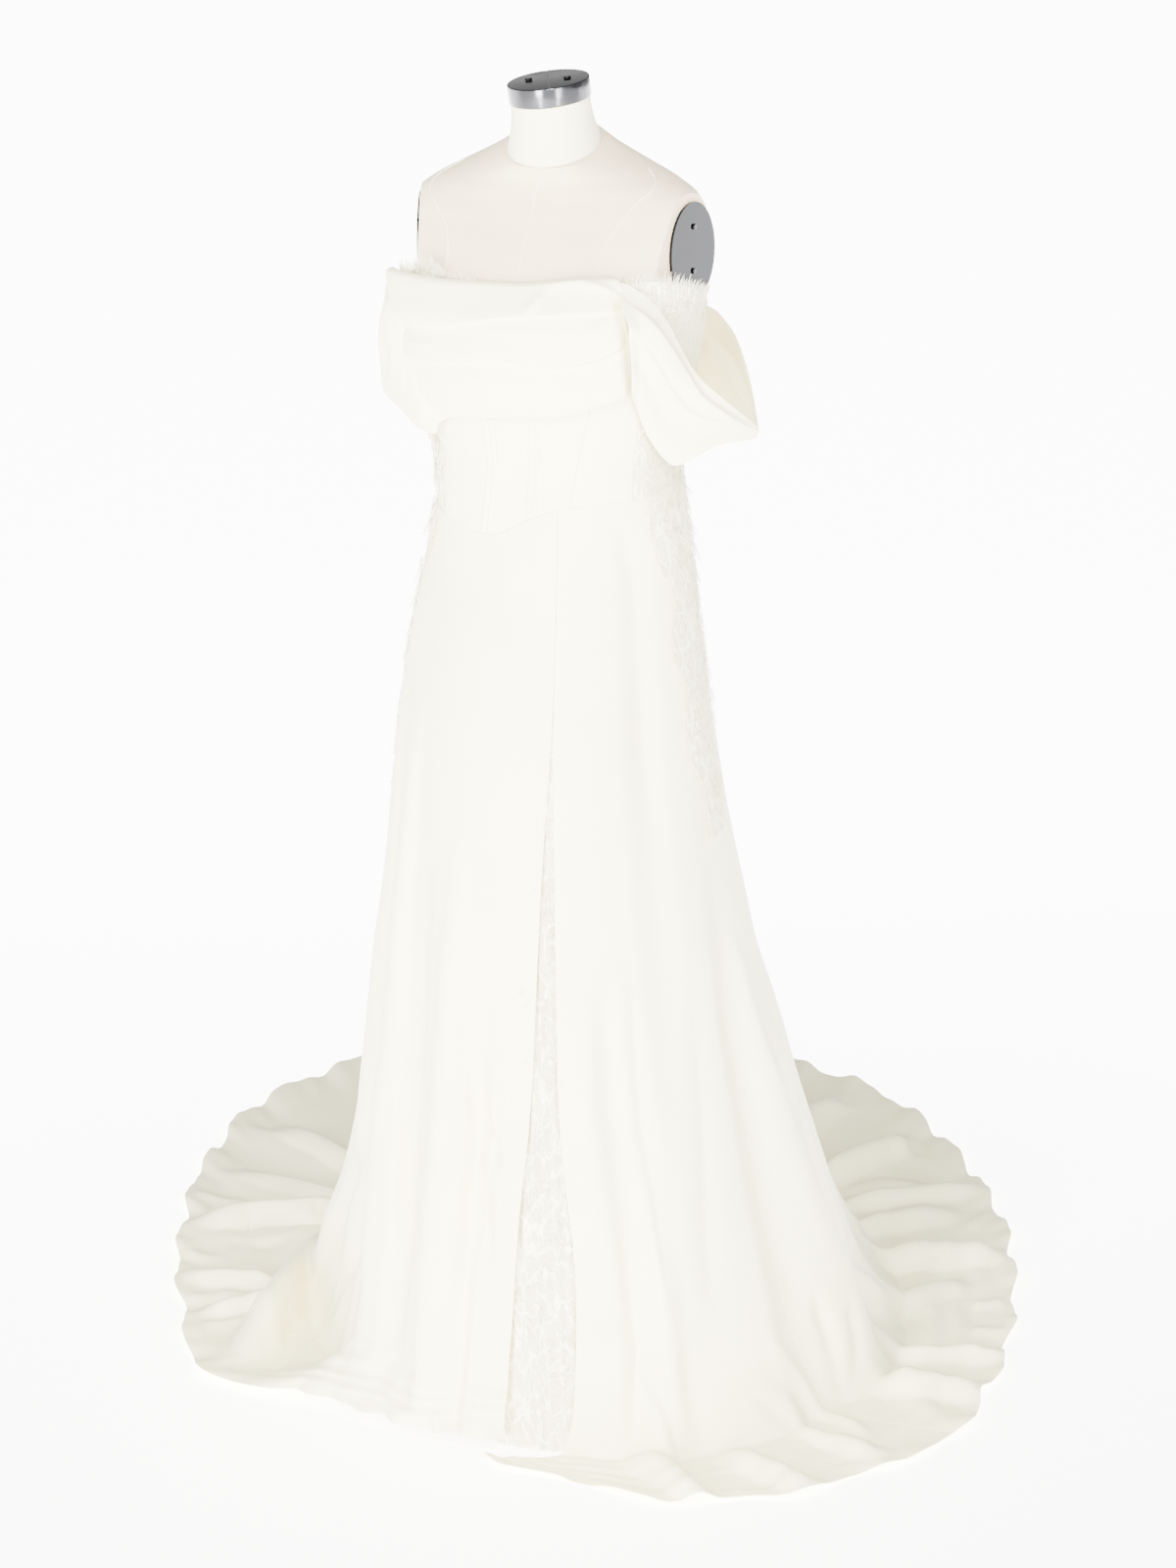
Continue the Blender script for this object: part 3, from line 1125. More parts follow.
def crease_heights(points, places, tracks, stretch):
    """Sum of soft creases at the points of a sheet.

    places holds the two surface places of each point and stretch is how far apart one unit of
    each place is, for telling a crease's two sides apart.
    """
    flat = points.reshape(-1, 3)
    where = places.reshape(-1, 2)
    total = np.zeros(len(flat))
    for height, first_width, second_width, path, track in tracks:
        reach = 2.2 * max(first_width, second_width)
        near = np.all((flat > track.min(axis=0) - reach) & (flat < track.max(axis=0) + reach), axis=1)
        index = np.flatnonzero(near)
        if not len(index):
            continue
        best = np.full(len(index), 9.0)
        share = np.zeros(len(index))
        side = np.zeros(len(index))
        sign = 1.0 if path[-1, 1] >= path[0, 1] else -1.0
        for step in range(len(track) - 1):
            start, run = track[step], track[step + 1] - track[step]
            along = np.clip(((flat[index] - start) @ run) / max(run @ run, 1e-12), 0.0, 1.0)
            away = np.linalg.norm(flat[index] - start - along[:, None] * run, axis=1)
            closer = away < best
            turn = (path[step + 1] - path[step]) * stretch
            nearest = path[step] + along[:, None] * (path[step + 1] - path[step])
            offset = (where[index] - nearest) * stretch
            cross = (turn[1] * offset[:, 0] - turn[0] * offset[:, 1]) * sign
            cross = cross / (np.hypot(*turn) * np.hypot(offset[:, 0], offset[:, 1]) + 1e-9)
            best = np.where(closer, away, best)
            share = np.where(closer, (step + along) / (len(track) - 1), share)
            side = np.where(closer, cross, side)
        width = first_width + (second_width - first_width) * ease(-1.0, 1.0, side)
        taper = (0.25 + 0.75 * ease(0.0, 0.25, share)) * (0.25 + 0.75 * (1.0 - ease(0.75, 1.0, share)))
        total[index] += height * taper * np.exp(-1.3 * (best / width) ** 1.6)
    return total.reshape(points.shape[:-1])


def waves(x, y, seed, lengths, sizes):
    """Slow uneven waves over a sheet, from a few crossing sines."""
    chance = random.Random(seed)
    total = 0.0
    for length, size in zip(lengths, sizes):
        for _ in range(3):
            turn = chance.uniform(0.0, math.tau)
            phase = chance.uniform(0.0, math.tau)
            span = length * chance.uniform(0.75, 1.3)
            total = total + size / 2.0 * np.sin(
                math.tau / span * (x * math.cos(turn) + y * math.sin(turn)) + phase)
    return total


# Scatter of small pieces


def scatter_tree():
    """Geometry Nodes: puts a motif on every point, with its own turn and an uneven size."""
    tree = bpy.data.node_groups.new("scatter_motifs", "GeometryNodeTree")
    for label, kind in (("Points", "Geometry"), ("Motif", "Object"), ("Finish", "Material"),
                        ("Size spread", "Float"), ("Seed", "Int")):
        tree.interface.new_socket(label, in_out="INPUT", socket_type="NodeSocket" + kind)
    tree.interface.new_socket("Geometry", in_out="OUTPUT", socket_type="NodeSocketGeometry")
    source, result = tree.nodes.new("NodeGroupInput"), tree.nodes.new("NodeGroupOutput")
    info = node(tree, "GeometryNodeObjectInfo")
    join(source, "Motif", info, "Object")
    turn = node(tree, "GeometryNodeInputNamedAttribute", {"Name": "turn"}, data_type="FLOAT_VECTOR")
    size = node(tree, "GeometryNodeInputNamedAttribute", {"Name": "size"}, data_type="FLOAT")
    rotation = node(tree, "FunctionNodeEulerToRotation")
    join(turn, "Attribute", rotation, "Euler")
    low = node(tree, "Math", {0: 1.0}, operation="SUBTRACT")
    high = node(tree, "Math", {0: 1.0}, operation="ADD")
    join(source, "Size spread", low, 1)
    join(source, "Size spread", high, 1)
    chance = node(tree, "FunctionNodeRandomValue", data_type="FLOAT")
    join(low, "Value", chance, 2)
    join(high, "Value", chance, 3)
    join(source, "Seed", chance, "Seed")
    scale = node(tree, "Math", operation="MULTIPLY")
    join(size, "Attribute", scale, 0)
    join(chance, 1, scale, 1)
    place = node(tree, "GeometryNodeInstanceOnPoints")
    join(source, "Points", place, "Points")
    join(info, "Geometry", place, "Instance")
    join(rotation, "Rotation", place, "Rotation")
    join(scale, "Value", place, "Scale")
    real = node(tree, "GeometryNodeRealizeInstances")
    join(place, "Instances", real, "Geometry")
    paint = node(tree, "GeometryNodeSetMaterial")
    join(real, "Geometry", paint, "Geometry")
    join(source, "Finish", paint, "Material")
    join(paint, "Geometry", result, "Geometry")
    return tree


def scatter(name, places, motif, spread, seed):
    """Bake a motif of lace thread onto places, each (point, x axis, normal, size)."""
    mesh = bpy.data.meshes.new(name)
    mesh.from_pydata([tuple(place[0]) for place in places], [], [])
    turns, sizes = [], []
    for _, ahead, normal, size in places:
        up = Vector(normal).normalized()
        across = up.cross(Vector(ahead)).normalized()
        ahead = across.cross(up)
        turns += list(Matrix((ahead, across, up)).transposed().to_euler())
        sizes.append(size)
    turn = mesh.attributes.new("turn", "FLOAT_VECTOR", "POINT")
    turn.data.foreach_set("vector", turns)
    extent = mesh.attributes.new("size", "FLOAT", "POINT")
    extent.data.foreach_set("value", sizes)
    carrier = link(bpy.data.objects.new(name + "_points", mesh))
    modifier = carrier.modifiers.new("scatter", "NODES")
    modifier.node_group = GROUPS["scatter"]
    ids = {item.name: item.identifier for item in GROUPS["scatter"].interface.items_tree
           if item.in_out == "INPUT"}
    modifier[ids["Motif"]] = MOTIFS[motif]
    modifier[ids["Finish"]] = MATERIALS["thread"]
    modifier[ids["Size spread"]] = spread
    modifier[ids["Seed"]] = seed
    baked = evaluated_mesh(carrier)
    baked.name = name
    bpy.data.objects.remove(carrier, do_unlink=True)
    for attribute in ("turn", "size"):
        if attribute in baked.attributes:
            baked.attributes.remove(baked.attributes[attribute])
    baked.shade_smooth()
    return link(bpy.data.objects.new(name, baked))


def flower_motif(name, petals):
    """Ring of petals of unit length round a knot."""
    bm = bmesh.new()
    for petal in range(petals):
        part = bmesh.new()
        bmesh.ops.create_grid(part, x_segments=5, y_segments=2, size=0.5)
        for vert in part.verts:
            along = vert.co.x + 0.5
            width = 0.34 * math.sin(math.pi * along ** 0.8) + 0.03
            vert.co.y *= 2.0 * width
            vert.co.x = along
            vert.co.z = 0.09 * math.sin(math.pi * along) - 0.5 * abs(vert.co.y) * 0.25
        turn = Matrix.Rotation(math.tau * petal / petals, 4, "Z")
        bmesh.ops.transform(part, matrix=turn, verts=part.verts[:])
        mesh = bpy.data.meshes.new("petal")
        part.to_mesh(mesh)
        part.free()
        bm.from_mesh(mesh)
        bpy.data.meshes.remove(mesh)
    bmesh.ops.create_uvsphere(bm, u_segments=8, v_segments=5, radius=0.10,
                              matrix=Matrix.Translation((0.0, 0.0, 0.03)))
    return mesh_object(name, bm)


def feather_motif(name, pairs):
    """Stem of unit length along +X with fine strands curving forward from both sides."""
    points, faces = [], []

    def ribbon(path, width):
        first = len(points)
        for index, (x, y, z) in enumerate(path):
            half = width * (1.0 - 0.75 * index / (len(path) - 1)) / 2.0
            points.append((x, y - half, z))
            points.append((x, y, z + half))
            points.append((x, y + half, z))
        for index in range(len(path) - 1):
            base = first + 3 * index
            for left, right in ((0, 1), (1, 2), (2, 0)):
                faces.append((base + left, base + right, base + 3 + right, base + 3 + left))
        faces.append((first, first + 2, first + 1))
        faces.append((len(points) - 3, len(points) - 2, len(points) - 1))

    ribbon([(x, 0.06 * math.sin(5.0 * x), 0.03) for x in (0.0, 0.25, 0.5, 0.75, 1.0)], 0.075)
    for pair in range(pairs):
        x = 0.06 + 0.80 * pair / (pairs - 1)
        reach = 0.36 * math.sin(math.pi * (0.18 + 0.72 * pair / (pairs - 1))) + 0.06
        for side in (1.0, -1.0):
            start = 0.06 * math.sin(5.0 * x)
            ribbon([(x, start, 0.02), (x + 0.07, start + side * reach * 0.55, 0.07),
                    (x + 0.21, start + side * reach, 0.03)], 0.050)
    mesh = bpy.data.meshes.new(name)
    mesh.from_pydata(points, [], faces)
    return link(bpy.data.objects.new(name, mesh))


def strand_motif(name):
    """Bent, tapering thread of unit length, standing along +Z."""
    bm = bmesh.new()
    bmesh.ops.create_cone(bm, cap_ends=True, segments=5, radius1=0.026, radius2=0.008, depth=1.0,
                          matrix=Matrix.Translation((0.0, 0.0, 0.5)))
    long_edges = [edge for edge in bm.edges if abs(edge.verts[0].co.z - edge.verts[1].co.z) > 0.5]
    bmesh.ops.subdivide_edges(bm, edges=long_edges, cuts=3)
    for vert in bm.verts:
        vert.co.x += 0.16 * vert.co.z ** 2
    return mesh_object(name, bm)


# Pieces

PIECES = []


def keep(item, nodes, slot, rests_on=(), held=None, sheet=None, with_pieces=()):
    """Note what a piece stands for; the notes are read at the end."""
    PIECES.append((item, nodes, slot, rests_on, held, sheet, with_pieces))
    return item


def strew(name, rows):
    """Scatter motifs and keep them as lace. Each row has label, places, motif, spread and seed."""
    carried = []
    for label, places, motif, spread, seed in rows:
        item = scatter(f"{name}_{label}", places, motif, spread, seed)
        carried.append(keep(item, [], "ivory_lace"))
    return carried


def ring_rise(height):
    """Rise of the torso's ring at a height towards the back."""
    return table_column(TORSO_RINGS, 4, np.array([height]))[0]


def make_form():
    sides = 128
    azimuths = np.arange(sides) * 360.0 / sides
    heights = np.concatenate((np.linspace(0.88, 1.46, 46), np.linspace(1.465, 1.573, 34)))
    rings = []
    for height in heights:
        ease_in = TORSO_EASE * (1.0 - ease(1.40, 1.44, height))
        ring = body_point(azimuths, height, -ease_in)
        ring[:, 2] += ring_rise(height) * ring[:, 1]
        rings.append(ring)
    torso = closed_loft("torso_cover", np.array(rings), MATERIALS["linen"])
    for side in (1.0, -1.0):
        matrix = plate_frame(side) @ Matrix.Translation((0.0, 0.0, 0.05))
        subtract(torso, block(matrix @ Matrix.Diagonal((0.2, 0.2, 0.1, 1.0))))
    keep(torso, ["form_torso"], "form_linen")
    for name, line in TORSO_SEAMS.items():
        path = []
        for azimuth, height in zip(*seam_path(line)):
            point = one_point(azimuth, height, SEAM_THREAD_LIFT)
            point[2] += ring_rise(height) * point[1]
            path.append(point)
        keep(cord_along(name, path, SEAM_THREAD_RADIUS, MATERIALS["linen_seam"]), [], "form_linen")
    last = TORSO_RINGS[-1]
    low = polar(azimuths, NECK_BASE_RADIUS, last[3], last[0] + SEAM_GAP)
    low[:, 2] += last[4] * low[:, 1]
    frame = cap_frame()
    high = np.array([frame @ Vector(point) for point in polar(azimuths, NECK_TOP_RADIUS, 0.0, 0.0)])
    rings = []
    for share in np.linspace(0.0, 1.0, 28):
        ring = low * (1.0 - share) + high * share
        rings.append(ring - unit(ring - ring.mean(axis=0)) * 0.0022 * math.sin(math.pi * share))
    keep(closed_loft("neck_cover", np.array(rings), MATERIALS["neck"]), ["form_neck"], "neck_linen")
    frame = cap_frame() @ Matrix.Translation((0.0, 0.0, SEAM_GAP))
    cap_height = CAP_HEIGHT + CAP_EXTRA_HEIGHT
    cap = drum("neck_cap", CAP_RADIUS, cap_height, MATERIALS["brushed"], frame, CAP_BEVEL, 128)
    slot = Matrix.Translation((0.0, 0.0, cap_height)) @ Matrix.Rotation(math.radians(20.0), 4, "Z")
    subtract(cap, block(frame @ slot @ Matrix.Diagonal((CAP_SLOT, 2.4 * CAP_RADIUS, 2.0 * CAP_SLOT, 1.0))))
    keep(cap, ["form_neck_cap"], "brushed_steel")
    for number, side in enumerate((-1.0, 1.0), start=1):
        seat = Matrix.Translation((side * SCREW_REACH, 0.0, cap_height + SEAM_GAP))
        screw = drum(f"cap_screw_{number}", SCREW_RADIUS, SCREW_HEIGHT, MATERIALS["polished"],
                     frame @ seat, 0.0009, 40)
        keep(screw, [f"form_cap_screw_{number}"], "polished_steel")
    for side, label in ((1.0, "left"), (-1.0, "right")):
        frame = plate_frame(side)
        size = Matrix.Diagonal((PLATE_HALF_DEPTH + PLATE_EXTRA, PLATE_HALF_HEIGHT + PLATE_EXTRA, 1.0, 1.0))
        seat = Matrix.Translation((0.0, 0.0, SEAM_GAP))
        plate = drum("arm_plate_" + label, 1.0, PLATE_THICKNESS, MATERIALS["polished"],
                     frame @ seat @ size, 0.0008, 120)
        keep(plate, ["form_arm_plate_" + label], "polished_steel")
        for number, height in enumerate(RIVET_HEIGHTS, start=1):
            seat = Matrix.Translation((0.0, height, 2.0 * SEAM_GAP + PLATE_THICKNESS))
            rivet = drum(f"rivet_{label}_{number}", RIVET_RADIUS, RIVET_HEAD, MATERIALS["polished"],
                         frame @ seat, 0.0007, 32)
            keep(rivet, [f"form_rivet_{label}_{number}"], "polished_steel")
    base = drum("stand_base", BASE_RADIUS, BASE_HEIGHT, MATERIALS["base"], Matrix.Identity(4), 0.003, 96)
    keep(base, ["form_base"], "base_paint")
    foot = BASE_HEIGHT + SEAM_GAP
    pole = drum("stand_pole", POLE_RADIUS, TORSO_RINGS[0][0] - SEAM_GAP - foot, MATERIALS["brushed"],
                Matrix.Translation((0.0, 0.0, foot)), 0.001, 48)
    keep(pole, ["form_pole"], "brushed_steel")



def seam_path(line):
    line = np.array(line)
    fine = np.linspace(0, len(line) - 1, 40)
    return [follow(np.arange(len(line)), line[:, k], fine) for k in (0, 1)]


def cord_along(name, path, radius, material):
    """Thin closed tube through points."""
    curve = bpy.data.curves.new(name, "CURVE")
    curve.dimensions = "3D"
    curve.bevel_depth = radius
    curve.bevel_resolution = 2
    curve.use_fill_caps = True
    spline = curve.splines.new("POLY")
    spline.points.add(len(path) - 1)
    for point, place in zip(spline.points, path):
        point.co = (*place, 1.0)
    carrier = link(bpy.data.objects.new(name, curve))
    mesh = evaluated_mesh(carrier)
    bpy.data.objects.remove(carrier, do_unlink=True)
    mesh.shade_smooth()
    mesh.materials.clear()
    mesh.materials.append(material)
    return link(bpy.data.objects.new(name, mesh))


def make_bodice():
    rows, columns = 64, 26
    shares = np.linspace(0.0, 1.0, rows + 1)
    for name, first, last in BODICE_PANELS:
        outer = empty_sheet(rows, columns)
        for row, share in enumerate(shares):
            start, end = seam_azimuth(first, share), seam_azimuth(last, share)
            half_gap = math.degrees(PANEL_GAP / 2.0 / BODICE_RADIUS)
            azimuth = np.linspace(start + half_gap, end - half_gap, columns + 1)
            low = basque(azimuth) - 0.0005
            height = low + (neckline(azimuth) - low) * share
            distance = np.radians(np.minimum(azimuth - start, end - azimuth)) * BODICE_RADIUS
            roll = -0.0007 * np.exp(-distance / 0.0014)
            pucker = 0.0004 * np.exp(-distance / 0.010) * np.sin(height * 420.0 + azimuth * 0.6)
            slack = waves(np.radians(azimuth) * 0.14, height, 3, (0.09, 0.045), (0.0007, 0.0004))
            outer[row] = body_point(azimuth, height, bodice_reach() - 0.0001 + roll + pucker + slack)
        normal = sheet_normals(outer)
        laced = name.startswith("lace")
        material = MATERIALS["laced_satin" if laced else "satin"]
        piece = shell(name + "_cloth", outer, outer - normal * CLOTH_WALL, material)
        keep(piece, [name], "ivory_lace" if laced else "ivory_satin", ["form_torso"], "stretched", outer)


def make_boning(name, seam):
    rows, columns = 110, 24
    outer = empty_sheet(rows, columns)
    inner = np.empty_like(outer)
    across = np.linspace(-1.0, 1.0, columns + 1)
    for row, share in enumerate(np.linspace(0.0, 1.0, rows + 1)):
        middle = seam_azimuth(seam, share * 0.8)
        foot = one(basque, middle) + 0.002
        height = foot + (BONING_TOP - foot) * share
        azimuth = middle + np.degrees(across * BONING_HALF_WIDTH / torso_radius(middle, height))
        cords = bell((np.abs(across) - 0.52) / 0.42)
        seam_dip = 0.0006 * bell(across / 0.10)
        ripple = 0.00025 * math.sin(height * 900.0) * bell((np.abs(across) - 0.92) / 0.2)
        rise = 0.0005 + 0.0018 * cords - seam_dip * 0.4 + ripple
        rise = rise * (0.25 + 0.75 * ease(0.0, 0.03, share))
        base = bodice_reach(0.0002)
        outer[row] = body_point(azimuth, height, base + rise)
        inner[row] = body_point(azimuth, height, base - 0.0001)
    piece = shell(name + "_strip", outer, inner, MATERIALS["satin"])
    keep(piece, [name], "ivory_satin", ["bodice_centre_front_right"], "stretched", outer)



def make_band():
    downs = np.concatenate((
        np.linspace(-0.06, 0.0, 5), np.linspace(0.0, 0.94, 42)[1:], np.linspace(0.94, 1.06, 13)[1:],
        np.linspace(1.06, 1.94, 42)[1:], np.linspace(1.94, 2.06, 13)[1:], np.linspace(2.06, 2.94, 42)[1:],
        np.linspace(2.94, 3.05, 9)[1:]))
    knots = [down for down, _ in BAND_PROFILE]
    reaches = [reach for _, reach in BAND_PROFILE]
    columns = 240
    outer = np.empty((len(downs), columns + 1, 3))
    places = np.empty((len(downs), columns + 1, 2))
    for row, down in enumerate(downs):
        held = min(max(down, 0.0), 3.0)
        across = np.linspace(0.0, 1.0, columns + 1)
        starts, ends = band_edge(BAND_STARTS, held) - 0.4, band_edge(BAND_ENDS, held) + 1.5
        azimuth = starts + (ends - starts) * across
        height = band_height(azimuth, held)
        tuck = 1.0 - ease(0.945, 1.0, across) * ease(0.25, 0.8, held)
        reach = follow(knots, reaches, np.array([held]))[0]
        reach = BAND_INSIDE + 0.0022 + (reach - BAND_INSIDE - 0.0022) * tuck
        swing = waves(np.radians(azimuth) * 0.16, height, 11, (0.16, 0.07), (0.0012, 0.0006))
        if down < 0.0:
            reach = reach + (0.0028 - reach) * (down / -0.06)
            height = height + 0.0008 * (down / -0.06)
        if down > 3.0:
            reach = reach + (BAND_INSIDE - reach) * ((down - 3.0) / 0.05)
        air = table_column(BAND_LINES, 5, azimuth) * (1.0 - ease(0.0, 1.4, held))
        outer[row] = body_point(azimuth, height, bodice_reach(reach) + air + swing)
        places[row] = np.stack((azimuth, height), axis=-1)
    normal = sheet_normals(outer)
    tracks = crease_tracks(
        BAND_CREASES, lambda azimuth, height: body_point(azimuth, height, bodice_reach(0.014)))
    creases = crease_heights(outer, places, tracks, (1.0, -400.0))
    outer = outer + normal * creases[..., None]
    piece = shell("band_folds", outer, outer - normal * CLOTH_WALL, MATERIALS["satin"], 60.0)
    panels = ["bodice_centre_front_right", "bodice_centre_front_left"]
    keep(piece, ["cowl_band"], "ivory_satin", panels, "gathered", outer)


def make_swag(name, front, back, overlap, rise):
    """Swag with its upper edge raised, and its front edge laid over the band's end by a turn.

    A negative overlap tucks the front edge under the band's end by that turn.
    """
    rows, columns = 46, 150
    top_azimuth, _, top_height, low_azimuth, _, low_height = front[0]
    outer = empty_sheet(rows, columns)
    places = np.empty((rows + 1, columns + 1, 2))
    ribs = np.linspace(0.0, 2.0, columns + 1)
    for row, down in enumerate(np.linspace(0.0, 1.0, rows + 1)):
        for column, place in enumerate(ribs):
            if place <= 1.0:
                outer[row, column] = swag_rib(front, place, down)
                lap = 1.0 - ease(0.0, SWAG_LAP_FADES, place)
                if overlap > 0.0:
                    turn = Matrix.Rotation(math.radians(-overlap * lap), 3, "Z")
                    outer[row, column] = turn @ Vector(outer[row, column])
                    outer[row, column, :2] *= 1.0 + 0.022 * lap * ease(0.05, 0.35, down)
                else:
                    azimuth = top_azimuth + (low_azimuth - top_azimuth) * down - overlap
                    height = top_height + (low_height - top_height) * down
                    tucked = one_point(azimuth, height, bodice_reach(TUCKED_REACH))
                    outer[row, column] += (tucked - outer[row, column]) * lap
            else:
                outer[row, column] = swag_rib(back, place - 1.0, down, 1.0)
            raised = bell((place - SWAG_RAISED_AT) / SWAG_RAISED_AT)
            outer[row, column, 2] += rise * raised * (1.0 - down)
            places[row, column] = (place, down)
    normal = sheet_normals(outer)

    def place_point(place, down):
        found = []
        for at, share in zip(place, down):
            if at <= 1.0:
                found.append(swag_rib(front, at, share))
            else:
                found.append(swag_rib(back, min(at, 2.0) - 1.0, share, 1.0))
        return np.array(found)

    creases = crease_heights(outer, places, crease_tracks(SWAG_CREASES, place_point), (1.0, -1.0))
    fade = 1.0 - ease(1.75, 1.95, ribs)
    outer = outer + normal * (creases * fade)[..., None]
    piece = shell(name + "_cloth", outer, outer - normal * CLOTH_WALL, MATERIALS["satin"], 60.0)
    keep(piece, [name], "ivory_satin", ["cowl_band", "bodice_back_" + name.split("_")[1]], "draped", outer)


def make_trim(name, first, last, count):
    rows, columns = 10, 260
    azimuth = np.linspace(first, last, columns + 1)
    outer = empty_sheet(rows, columns)
    for row, share in enumerate(np.linspace(0.0, 1.0, rows + 1)):
        base = bodice_reach(TRIM_STAND_OFF) + TRIM_WALL * 0.6
        scallop = 0.0022 * np.abs(np.sin(azimuth * 0.9)) * share
        height = neckline(azimuth) - TRIM_DROP * share - scallop + 0.001
        flute = 0.0007 * np.sin(azimuth * 3.1) * (0.3 + 0.7 * share)
        outer[row] = body_point(azimuth, height, base + flute)
    normal = sheet_normals(outer)
    piece = shell(name + "_strip", outer, outer - normal * 0.0006, MATERIALS["lace"])
    chance = random.Random(len(name))
    lashes, leaves = [], []
    for index in range(count * 14):
        at = first + (last - first) * (index + chance.random()) / (count * 14)
        point = one_point(at, one(neckline, at), bodice_reach(0.0010))
        out, side = directions(at)
        up = (Vector((0.0, 0.0, 1.0)) + side * chance.gauss(0.0, 0.28)
              + out * (0.12 + chance.gauss(0.0, 0.12)))
        curl = float(bell((at - CURL_AZIMUTH) / CURL_HALF_WIDTH))
        length = (0.0080 + 0.0060 * chance.random()) * (1.0 + 1.1 * curl * chance.random())
        lashes.append((point, out, up, length))
        if curl > 0.2:
            lift = Vector((0.0, 0.0, 0.016 * curl * chance.random())) + out * 0.004 * chance.random()
            lashes.append((Vector(point) + lift, up, out * 0.8 + side * chance.gauss(0.0, 0.8)
                           + Vector((0.0, 0.0, chance.gauss(0.3, 0.6))), 0.011))
            leaves.append((Vector(point) + lift, side + Vector((0.0, 0.0, 0.8)), out, 0.013))
    for index in range(count * 3):
        at = first + (last - first) * (index + 0.5) / (count * 3)
        drop = chance.uniform(0.002, 0.016)
        point = one_point(at, one(neckline, at) - drop, bodice_reach(0.0026))
        out, side = directions(at)
        ahead = side * chance.uniform(-1.0, 1.0) + Vector((0.0, 0.0, chance.uniform(-1.0, 0.6)))
        leaves.append((point, ahead, out, 0.0110))
    carried = strew(name, (("lashes", lashes, "strand", 0.25, 5), ("leaves", leaves, "leaf", 0.25, 6)))
    side_panel = "lace_side_" + name.split("_")[2]
    keep(piece, [name], "ivory_lace", [side_panel], "stretched", outer, carried)


def ruffle(lane, level):
    """Uneven waves of the hem: up and out, and the room that they take."""
    hanging = table_column(SKIRT_RADII, 7, lane)
    run = np.interp(lane, *HEM_RUN)
    wave = (np.sin(math.tau * run / 0.083 + 1.4 * np.sin(run * 9.0))
            + 0.6 * np.sin(math.tau * run / 0.051 + 2.0 * np.sin(run * 6.0) + 1.0))
    near = ease(0.90, 1.0, level)
    deep = ease(0.80, 1.0, level)
    laid_up = 0.0018 * (wave + 1.2) * near * (1.0 - hanging)
    hung_out = 0.0036 * wave * deep * hanging
    hung_up = -0.0010 * (wave + 1.0) * near * hanging
    return laid_up + hung_up, hung_out + 0.0009 * wave * near * (1.0 - hanging)


def fine_skirt_point(lane, level):
    point = skirt_point(lane, level)
    up, out = ruffle(lane, level)
    azimuth = np.radians(lane_azimuth(lane, level))
    point[:, 0] += out * np.sin(azimuth)
    point[:, 1] -= out * np.cos(azimuth)
    point[:, 2] += up
    return point


def eased_crease(height, level):
    """Crease height with its peaks held back, and gentler where the cloth turns onto the floor."""
    turning = bell((level - 0.585) / 0.12)
    laid = ease(0.64, 0.72, level)
    most = 0.013 - 0.008 * turning - 0.004 * laid
    return most * np.tanh(height * (1.8 - 1.0 * turning - 0.7 * laid) / most)


def skirt_sheet(lanes, levels):
    """Fine outer face of the skirt over a grid of lanes and levels."""
    level, lane = np.meshgrid(levels, lanes, indexing="ij")
    outer = fine_skirt_point(lane.ravel(), level.ravel()).reshape(*lane.shape, 3)
    places = np.stack((lane, level), axis=-1)
    normal = sheet_normals(outer, UPWARD_LEAN)
    creases = crease_heights(outer, places, SKIRT_TRACKS, SKIRT_STRETCH)
    run = np.interp(lanes, *HEM_RUN)[None, :]
    slow = waves(run, places[..., 1] * 1.4, 21, (0.34, 0.17), (0.0016, 0.0009))
    slow = slow * ease(0.06, 0.3, places[..., 1]) * (1.0 - 0.6 * ease(0.9, 1.0, places[..., 1]))
    waist = 1.0 - 0.9 * (1.0 - ease(0.0, 0.02, places[..., 1]))
    outer = outer + normal * ((eased_crease(creases, places[..., 1]) + slow) * waist)[..., None]
    outer[..., 2] = np.maximum(outer[..., 2], CLOTH_WALL)
    return outer, normal


def make_skirt():
    levels = np.concatenate((np.linspace(0.0, 0.60, 110), np.linspace(0.60, 1.0, 82)[1:]))
    for name, first, last, columns in SKIRT_PANELS:
        lanes = np.linspace(first, last, 400)
        weight = np.concatenate(((0.0,), np.cumsum(0.5 * (
            table_column(HEM_RADII, 1, lanes)[1:] + table_column(HEM_RADII, 1, lanes)[:-1]) + 0.25)))
        lanes = np.interp(np.linspace(0.0, weight[-1], columns + 1), weight, lanes)
        outer, normal = skirt_sheet(lanes, levels)
        side = unit(np.gradient(outer, axis=1))
        outer[:, 0] += side[:, 0] * PANEL_GAP / 2.0
        outer[:, -1] -= side[:, -1] * PANEL_GAP / 2.0
        roll = np.zeros(outer.shape[:2])
        roll[:, 0] = roll[:, -1] = 0.0004
        outer -= normal * roll[..., None]
        inner = outer - sheet_normals(outer, UPWARD_LEAN) * CLOTH_WALL
        inner[..., 2] = np.maximum(inner[..., 2], 0.0)
        piece = shell(name + "_cloth", outer, inner, MATERIALS["satin"])
        keep(piece, [name], "ivory_satin", ["form_torso", "form_base"], "draped", outer)


def on_skirt(lanes, levels, lift):
    """Points lifted off the creased skirt, and its unit directions across, down and out."""
    lanes, levels = np.array(lanes), np.array(levels)
    points = fine_skirt_point(lanes, levels)
    across = unit(fine_skirt_point(lanes + 0.3, levels) - points)
    down = unit(fine_skirt_point(lanes, levels + 0.002) - points)
    normal = unit(np.cross(down, across))
    creased = crease_heights(points, np.stack((lanes, levels), axis=-1), SKIRT_TRACKS, SKIRT_STRETCH)
    creased = eased_crease(creased, levels)
    return points + normal * (creased + lift)[:, None], across, down, normal


